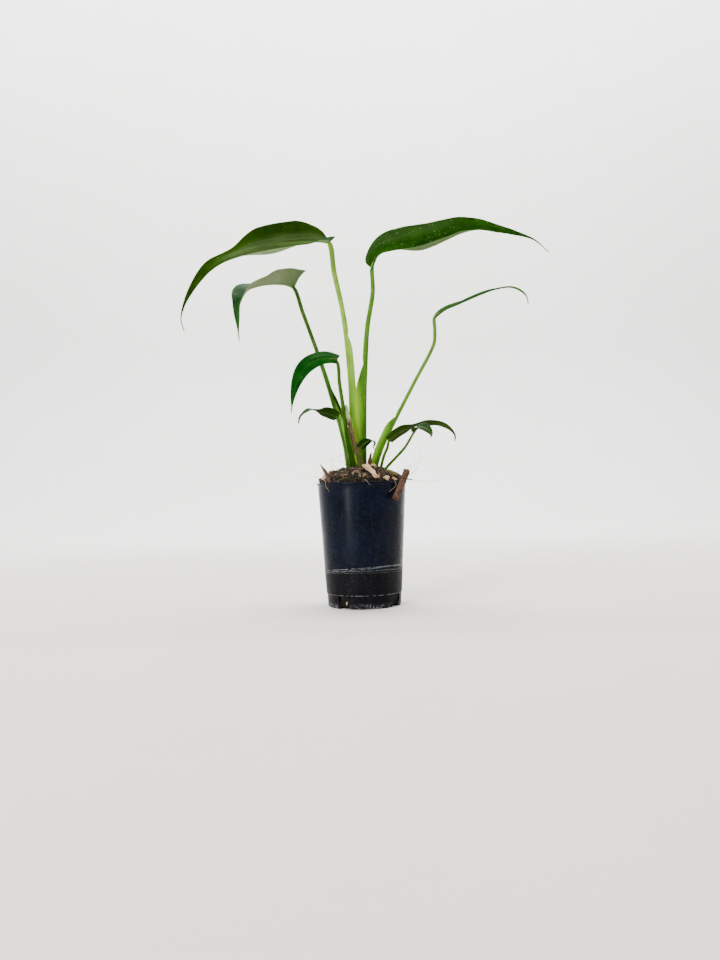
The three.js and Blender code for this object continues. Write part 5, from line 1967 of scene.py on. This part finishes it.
LEAVES = (
    Leaf(
        name="upper_left",
        stalk=StalkShape(
            foot=(-2, 6),
            route=((-3.5, 9, 108), (-6, 9, 144), (-6.5, 8.5, 172), (-10.5, 7, 224), (-17.5, 6, 262)),
            radii=(2.5, 2.4, 2.1, 2.0, 2.1), open=(1, -0.1, 0), sheath=Sheath(wing=3, end=0.66),
        ),
        blade=BladeShape(
            midrib=(
                (-21, 4, 284.5), (-27, 2, 285), (-36, -1, 284.4), (-45, -4, 283.4), (-52, -6, 282.4),
                (-60, -9, 281), (-71.5, -13, 278), (-91.5, -19, 270.5), (-110, -24, 259.5),
                (-124.5, -28, 239.5), (-131.5, -29, 220), (-129.5, -28, 210.5),
            ),
            half_width=19, taper=1.9, base=0.8, lobe=0.03, lobe_left=0.04, lobe_right=0.0,
            rise_left=3.0, ear_side=-1, roll=(45, 48, 55, 40, 48, 55, 50),
            left=HalfShape((42, 23, -22, 2, 18, 16, 10), curl=(0, 0, 140, 40, 0, 0, 0)),
            right=HalfShape((21, 26, 18, -6, 2, 4, 4), curl=(-40, 4, 4, 0, 0, 0, 0)),
        ),
        rounding=0.06, lobe_span=0.07,
    ),
    Leaf(
        name="upper_right",
        stalk=StalkShape(
            foot=(2, 0),
            route=((2, 1, 107), (2.5, 0, 136), (4, 0, 171), (7.5, -1, 215), (12.5, -3, 243)),
            radii=(2.6, 2.5, 2.2, 1.9, 1.7), open=(-1, -0.1, 0),
            sheath=Sheath(wing=6.6, end=0.62, fade=0.26),
        ),
        blade=BladeShape(
            midrib=(
                (12.5, -4, 261.5), (15, -5, 269), (22.5, -6, 274.5), (34.5, -8.5, 277), (53.5, -12.5, 280),
                (68.5, -15, 284), (80, -17, 287), (95, -19, 288), (109.5, -21, 284), (120.5, -22, 280.5),
                (135, -24, 273.5), (145, -25, 264),
            ),
            half_width=19.5, taper=1.9, base=0.42, lobe=0.035, lobe_left=0.0, lobe_right=0.12,
            rise_right=6.0, ear_side=1, roll=(-48, -46, -50, -60, -60, -60, -60),
            left=HalfShape((14, 14, 12, 4, -18, -14, -4), curl=(-80, 0, 0, 0, 0, 0, 0)),
            right=HalfShape((28, 22, -30, -14, 2, 2, 2), curl=(0, 0, 150, 115, 20, 0, 0)),
        ),
        rounding=0.05, lobe_span=0.07,
    ),
    Leaf(
        name="middle_left",
        stalk=StalkShape(
            foot=(-6, 3.5),
            route=(
                (-9.5, 6, 108), (-12.5, 6.5, 129), (-18.5, 7, 152), (-30.5, 10.5, 193), (-43.5, 13, 232),
            ),
            radii=(2.7, 2.2, 1.6, 1.6), open=(0.8, -0.6, 0),
            sheath=Sheath(wing=4.0, end=0.54, fade=0.26),
        ),
        blade=BladeShape(
            midrib=(
                (-50.5, 15, 252.5), (-56.5, 13, 254.5), (-68.5, 8, 254), (-79.5, 2, 250.5),
                (-85.5, -2, 246.5), (-91, -8, 233.5), (-92, -9, 216), (-91.5, -9, 206),
            ),
            half_width=13.5, taper=1.8, base=1, lobe=0.09, lobe_left=0.1, rise_left=5.0, lobe_right=0.0,
            lobe_power=2.6, flare=4.0, flare_place=0.5, roll=(8, 8, 10, 30, 48, 55, 50),
            left=HalfShape((64, 46, 30, 50, 60, 40, 20)), right=HalfShape((40, 36, 14, 4, 6, 8, 8)),
        ),
    ),
    Leaf(
        name="low_left",
        stalk=StalkShape(
            foot=(-5, -2), route=((-7, -3, 108), (-10, -5, 128), (-12.5, -8, 151), (-15, -10, 171)),
            radii=(2.1, 1.7, 1.3), open=(1, 0, 0),
        ),
        blade=BladeShape(
            midrib=(
                (-17, -11, 188.5), (-24.5, -15, 189.8), (-33.5, -21, 187), (-41, -27, 180.5), (-46, -31, 171),
                (-49, -34, 159.5), (-50.5, -35, 147),
            ),
            half_width=6.3, taper=1.4, base=0.2, lobe=0.03, lobe_right=0.085, rise_right=2.4,
            roll=(50, 52, 52, 50), left=HalfShape((12, 10, 8)), right=HalfShape((12, 10, 8)), wave=0.3,
        ),
    ),
    Leaf(
        name="lowest_left",
        stalk=StalkShape(
            foot=(-7, -5), route=((-10, -8, 108), (-13, -10, 125.5), (-15.5, -13, 137)),
            radii=(1.3, 1.2, 1.1), open=(1, 0, 0),
        ),
        blade=BladeShape(
            midrib=(
                (-17, -15.5, 144.5), (-22, -18, 147), (-27, -21, 148.5), (-32, -24, 149.5), (-37, -28, 150),
                (-41.5, -31, 147.5), (-44.5, -33, 143.8), (-45.5, -35, 139),
            ),
            half_width=5.2, taper=1.9, base=0.5, lobe=0.02, roll=(-42, -40, 6, 45, 50), wave=0.2,
            waves=1.5, tip=1.5,
        ),
    ),
    Leaf(
        name="middle_right",
        stalk=StalkShape(
            foot=(8, 2),
            route=(
                (11.5, 3, 107), (16.5, 3, 121.5), (22.5, 3, 134), (32.5, 2, 152.5), (46, 1, 177),
                (56.5, -1, 195.5), (59.5, -2, 203), (60, -3, 213),
            ),
            radii=(1.8, 1.6, 1.4, 1.4), open=(-0.8, 0.1, 0.6), sheath=Sheath(wing=4.2, end=0.44),
        ),
        blade=BladeShape(
            midrib=(
                (60, -4, 221.5), (68, -6, 227), (78, -9, 230.5), (90.5, -12, 235), (105.5, -15, 239.5),
                (116.5, -18, 240), (124, -19, 237), (128.5, -20, 232), (129.5, -20, 226.5),
            ),
            half_width=11, taper=1.5, base=0.5, lobe=0.04, roll=(-22, -12, -14, -40),
            left=HalfShape((8, 6, 6)), right=HalfShape((8, 6, 6)), wave=0.4, tip=1.1,
        ),
        rounding=0.06,
    ),
    Leaf(
        name="low_right_long",
        stalk=StalkShape(
            foot=(12, -4), route=((15.5, -5, 107), (18, -6, 115.5), (20.5, -7, 121)),
            radii=(1.3, 1.2, 1.1), open=(-1, 0, 0),
        ),
        blade=BladeShape(
            midrib=(
                (22, -8, 126.5), (27.5, -11, 131), (34, -14, 134.5), (41, -17, 136.5), (48, -20, 137.5),
                (57, -24, 137.5), (64, -27, 135), (69, -28, 130.5), (70.5, -28, 127), (70, -28, 123.5),
            ),
            half_width=4.3, taper=1.2, base=0.75, lobe=0.03, roll=(38, 38, 2, 30, 60, 75), wave=0.2,
            tip=2.0,
        ),
    ),
    Leaf(
        name="low_right_short",
        stalk=StalkShape(
            foot=(13, -8),
            route=((17.5, -10, 103), (22.5, -13, 109), (28, -16, 114.5), (33.5, -20, 120.5)),
            radii=(1.2, 1.1, 0.9), open=(-1, 0, 0),
        ),
        blade=BladeShape(
            midrib=(
                (40, -26, 131), (42.5, -28, 134), (46.5, -31, 134.5), (50, -34, 132), (52, -36, 128.5),
                (51.5, -37, 126),
            ),
            half_width=3.6, taper=1.1, base=0.6, lobe=0.02, roll=(-15, -40, -50),
            left=HalfShape((25, 12, 8)), right=HalfShape((35, 12, 8)), wave=0.1, waves=1,
        ),
    ),
    Leaf(
        name="centre_front",
        stalk=StalkShape(
            foot=(0, -7), route=((-0.5, -12, 105.5), (-1, -13.5, 113)), radii=(0.9, 0.8, 0.8),
            open=(-1, 0, 0),
        ),
        blade=BladeShape(
            midrib=(
                (-0.5, -15, 121), (2.5, -18, 124), (6.5, -21, 126), (9.5, -23, 125.5), (10.5, -24, 123.5),
                (9.5, -25, 121), (11, -26, 118.5),
            ),
            half_width=3.6, taper=1.6, base=0.8, lobe=0.08, roll=(35, 35, 10, 0), wave=0.1, waves=1,
        ),
    ),
)

# Each leaf's finish, with the strength of its painted sheen and its painted ear shade.
BLADE_FINISHES: dict[str, BladeFinish] = {
    "upper_left": BladeFinish(
        deep=(20, 42, 2), fresh=(32, 58, 6), painted_sheen=(90, 106, 66), painted_sheen_left=0.4, painted_sheen_middle=0.72,
        painted_ear_shade=-0.75, painted_sheen_end=0.66, rib_above=0.03, specks=0.01, specular=0.0,
    ),
    "upper_right": BladeFinish(
        deep=(9, 40, 3), fresh=(27, 60, 6), painted_sheen=(76, 96, 56), painted_sheen_left=0.3, painted_sheen_end=0.6, painted_ear_shade=0.75,
        rib_above=0.03, specks=0.12, under=(84, 100, 66), specular=0.0,
    ),
    "middle_left": BladeFinish(
        deep=(18, 58, 18), fresh=(38, 78, 34), under=(106, 116, 86), under_vein=(66, 90, 46)
    ),
    "low_left": BladeFinish(
        deep=(4, 46, 6), fresh=(18, 64, 16), painted_sheen=(74, 112, 68), painted_sheen_right=0.4, painted_sheen_end=0.4,
        rib_above=0.05, specular=0.0,
    ),
    # Painted shade: the underside of this low leaf is dark olive for the shade that it lies in near the soil.
    "lowest_left": BladeFinish(
        deep=(18, 46, 16), fresh=(36, 66, 32), under=(18, 42, 2), under_vein=(30, 56, 8), rib_below=0.05
    ),
    "middle_right": BladeFinish(
        deep=(22, 58, 16), fresh=(44, 78, 32), under=(34, 66, 26), under_vein=(58, 84, 44),
        rib_below=0.15, specular=0.0,
    ),
    # Painted shade: the underside of this low leaf is dark olive for the shade that it lies in near the soil.
    "low_right_long": BladeFinish(
        deep=(30, 54, 8), fresh=(50, 72, 26), under=(30, 48, 6), under_vein=(44, 62, 18), rib_below=0.06
    ),
    # Painted shade: the underside of this low leaf is dark olive for the shade that it lies in near the soil.
    "low_right_short": BladeFinish(
        deep=(22, 48, 12), fresh=(40, 66, 32), under=(24, 46, 4), under_vein=(40, 62, 18), rib_below=0.12
    ),
    # Painted shade: the underside of this low leaf is dark olive for the shade that it lies in near the soil.
    "centre_front": BladeFinish(
        deep=(10, 36, 2), fresh=(26, 56, 10), under=(10, 34, 2), under_vein=(24, 50, 8), rib_below=0.15
    ),
}

STALK_FINISHES: dict[str, StalkFinish] = {
    "upper_left": StalkFinish((104, 154, 34), (134, 170, 66), (146, 188, 70), "stalk skin pale"),
    "upper_right": StalkFinish((44, 90, 14), (82, 126, 38), (134, 178, 44), "stalk skin green"),
    "middle_left": StalkFinish((36, 84, 8), (52, 84, 28), (120, 162, 56), "stalk skin dark"),
    "low_left": StalkFinish((46, 98, 10), (58, 90, 24), (96, 140, 40), "stalk skin low left"),
    "lowest_left": StalkFinish((46, 92, 12), (58, 100, 26), (110, 150, 60), "stalk skin lowest"),
    "middle_right": StalkFinish((62, 114, 10), (98, 132, 52), (122, 170, 50), "stalk skin right"),
    "low_right_long": StalkFinish((60, 100, 14), (56, 84, 18), (110, 150, 60), "stalk skin low right"),
    "low_right_short": StalkFinish((58, 98, 12), (50, 76, 12), (110, 150, 60), "stalk skin short"),
    "centre_front": StalkFinish((64, 104, 20), (50, 84, 16), (110, 150, 60), "stalk skin front"),
}

STRIPS = (
    Strip(
        name="dried_sheath_left",
        route=(
            (1, -8, 102), (-1.5, -8, 113), (-3.5, -8, 120.5), (-6, -8, 129), (-8, -8, 139), (-10.5, -7, 155),
        ),
        half_widths=(2.6, 2.2, 2.0, 1.8, 0.9), thickness=0.4, bow=0.8, open=(0.3, -1, 0),
    ),
    Strip(
        name="dried_sheath_right", route=((6.5, -6.5, 101), (7, -7, 112), (8, -7.5, 117.5)),
        half_widths=(1.9, 1.6, 0.8), thickness=0.6, bow=0.9, open=(-0.3, -1, 0),
    ),
)

RODS = (
    Rod(
        name="surface_root",
        route=((16, -14, 100), (20, -16, 102.6), (25, -18, 100.8), (28.5, -20, 99)),
        radii=(1.0, 1.5, 1.6, 1.5), slot=Slot.SURFACE_ROOT, roughness=0.2,
    ),
    Rod(
        name="bark_splinter", route=((-23, -20, 94), (-25.5, -19.5, 100), (-31.5, -18, 110)),
        radii=(2.5, 2.1, 0.45), slot=Slot.BARK, ridges=3, flatten=0.7,
    ),
    Rod("thin_twig", ((24, -6, 97), (31, -9, 97.2), (39, -11, 95.9)), (0.7, 0.6, 0.5), Slot.BARK),
)

CHIPS = (
    Chip("chip_long", (7.0, -22.5), (16.0, 3.3, 2.4), yaw=-60, tilt=40, lift=1.5),
    Chip("chip_pink", (-4, -24), (4.6, 3.0, 1.6), yaw=15, tilt=22, lift=0.7),
    Chip("chip_orange", (12, -28.5), (3.8, 2.6, 2.0), yaw=-30, tilt=18, lift=0.8),
    Chip("chip_pale", (19, -26), (4.4, 2.8, 2.0), yaw=50, tilt=22, lift=0.9),
    Chip("chip_left", (-27.5, -14), (5.0, 3.2, 3.0), yaw=40, tilt=20, lift=1.0),
    Chip("chip_back_left", (-15, 19), (7.0, 4.0, 2.0), yaw=70, tilt=-24, lift=0.8),
    Chip("chip_back", (6, 24), (8.0, 4.4, 2.2), yaw=15, tilt=-20, lift=0.8),
    Chip("chip_back_right", (22, 14), (6.0, 3.6, 2.0), yaw=-50, tilt=-16, lift=0.8),
    Chip("chip_side_left", (-23, 2), (6.0, 4.0, 2.0), yaw=90, tilt=-10, lift=0.7),
)
EXTRA_CHIPS = (
    Chip("tan_bit", (24.5, -22), (4.4, 1.8, 1.4), yaw=-40, tilt=20, lift=0.4),
    Chip("pale_sliver", (9.6, -29.5), (5.0, 2.2, 1.4), yaw=-62, tilt=30, lift=0.8),
    Chip("yellow_knob", (9.3, -11), (3.4, 2.4, 2.2), yaw=10, tilt=0, lift=1.6),
    Chip("brown_bit", (-12, -25), (3.6, 2.0, 1.4), yaw=-20, tilt=24, lift=0.6),
    Chip("tan_crumb", (2.5, -12), (3.6, 2.2, 1.8), yaw=35, tilt=10, lift=1.2),
)

CHIP_COLOURS: dict[str, tuple[Rgb, Rgb]] = {
    "chip_long": ((178, 140, 92), (224, 192, 146)),
    "chip_pink": ((84, 56, 40), (142, 104, 80)),
    "chip_orange": ((150, 98, 56), (206, 156, 108)),
    "chip_pale": ((146, 108, 72), (212, 180, 142)),
    "chip_left": ((176, 142, 104), (220, 190, 156)),
    "yellow_knob": ((176, 158, 100), (206, 190, 132)),
    "tan_crumb": ((120, 92, 62), (170, 138, 98)),
    "brown_bit": ((70, 48, 32), (112, 84, 58)),
}
PLAIN_CHIP = ((128, 96, 66), (186, 150, 110))
CHIP_ROOM = 0.42

HEAP_FINISH = EarthFinish(
    name="heap",
    stops=(
        (0.0, (4, 3, 2)), (0.4, (11, 8, 5)), (0.7, (28, 21, 14)), (0.9, (50, 39, 26)), (1.0, (74, 60, 41)),
    ),
)
GRAIN_FINISH = EarthFinish(
    name="grains",
    stops=(
        (0.0, (3, 2, 2)), (0.5, (10, 7, 5)), (0.74, (44, 33, 21)), (0.9, (98, 79, 54)),
        (1.0, (184, 156, 118)),
    ),
    by_grain=True, bump_mm=0.15, scale=700.0,
)
FLAKE_FINISH = EarthFinish(
    name="flakes",
    stops=((0.0, (24, 17, 11)), (0.5, (58, 43, 29)), (0.85, (104, 81, 56)), (1.0, (180, 150, 112))),
    by_grain=True, bump_mm=0.12, scale=900.0,
)
FIBRE_FINISH = EarthFinish(
    name="fibres",
    stops=((0.0, (30, 22, 14)), (0.45, (80, 62, 42)), (0.8, (144, 124, 90)), (1.0, (222, 206, 170))),
    by_grain=True, bump_mm=0.04, scale=900.0,
)
MOSS_FINISH = EarthFinish(
    name="moss", stops=((0.0, (24, 30, 8)), (0.5, (50, 58, 20)), (1.0, (98, 100, 46))), by_grain=True,
    bump_mm=0.05, scale=900.0,
)

DRY_SHEATH = WoodFinish(
    name="dry sheath", dark=(38, 27, 14), light=(112, 88, 52), grain=(1, 1, 0.08), scale=800.0,
    bump_mm=0.3, pale=(190, 202, 130), pale_from=144.0,
)
DARK_SHEATH = WoodFinish("dark dry sheath", (44, 30, 20), (96, 70, 44), grain=(1, 1, 0.08), scale=800.0)
ROOT_SKIN = WoodFinish("root skin", (126, 100, 66), (196, 172, 130))
CURLED_BARK = WoodFinish(
    "curled bark", (28, 15, 9), (106, 72, 52), grain=(1, 1, 0.3), scale=520.0, bump_mm=0.5
)
ROD_FINISHES: dict[str, WoodFinish] = {
    "surface_root": WoodFinish(
        "surface root skin", (52, 40, 24), (108, 92, 56), grain=(0.2, 1, 1), scale=500.0
    ),
    "bark_splinter": WoodFinish("splinter wood", (44, 31, 20), (100, 79, 56), grain=(1, 1, 0.1)),
    "thin_twig": WoodFinish("twig bark", (18, 13, 10), (48, 36, 28), grain=(0.2, 1, 1)),
}


@dataclass(frozen=True)
class Monstera:
    """The whole part: pot, heap, litter, roots, nine leaves and what lies about them."""

    pot: NurseryPot = field(default_factory=NurseryPot)

    def build_pot_and_soil(self) -> None:
        """Makes the pot, the heap, its litter and the root ball."""
        heap = Heap(self.pot)
        self.pot.build(PotFinish().build())
        heap.build(HEAP_FINISH.build())
        feet = tuple((leaf.stalk.route[0][0], leaf.stalk.route[0][1]) for leaf in LEAVES)
        chips = (*CHIPS, *EXTRA_CHIPS)
        places = tuple((*chip.place, CHIP_ROOM * chip.size[0]) for chip in chips)
        litter = Litter(heap, feet, places)
        litter.build_grains(GRAIN_FINISH.build())
        litter.build_flakes(FLAKE_FINISH.build())
        fibres = FIBRE_FINISH.build()
        litter.build_fibres(fibres)
        litter.build_moss(MOSS_FINISH.build())
        Hairs().build(fibres)
        RootBall().build(ROOT_SKIN.build())
        for number, chip in enumerate(chips):
            dark, light = CHIP_COLOURS.get(chip.name, PLAIN_CHIP)
            finish = WoodFinish(f"wood {chip.name}", dark, light, grain=(0.3, 1, 1), scale=900.0)
            chip.build(heap, finish.build(), number, [chip.name] if chip in CHIPS else [])

    def build_woody_pieces(self) -> None:
        """Makes the dry sheaths, the surface root, the splinter, the twig and the curled bark."""
        for strip, finish in zip(STRIPS, (DRY_SHEATH, DARK_SHEATH), strict=True):
            strip.build(finish.build())
        for rod in RODS:
            rod.build(ROD_FINISHES[rod.name].build())
        BarkTube().build(CURLED_BARK.build())

    def build_leaves(self) -> None:
        """Makes every leaf with its own finishes."""
        for leaf in LEAVES:
            leaf.build_stalk(STALK_FINISHES[leaf.name].build())
            leaf.build_blade(BLADE_FINISHES[leaf.name].build(leaf))


def main() -> None:
    """Builds the viewpoint, the studio and the plant."""
    logging.basicConfig(level=logging.INFO, format="%(message)s")
    Camera().build()
    Studio().build()
    plant = Monstera()
    plant.build_pot_and_soil()
    plant.build_woody_pieces()
    plant.build_leaves()


if __name__ == "__main__":
    main()
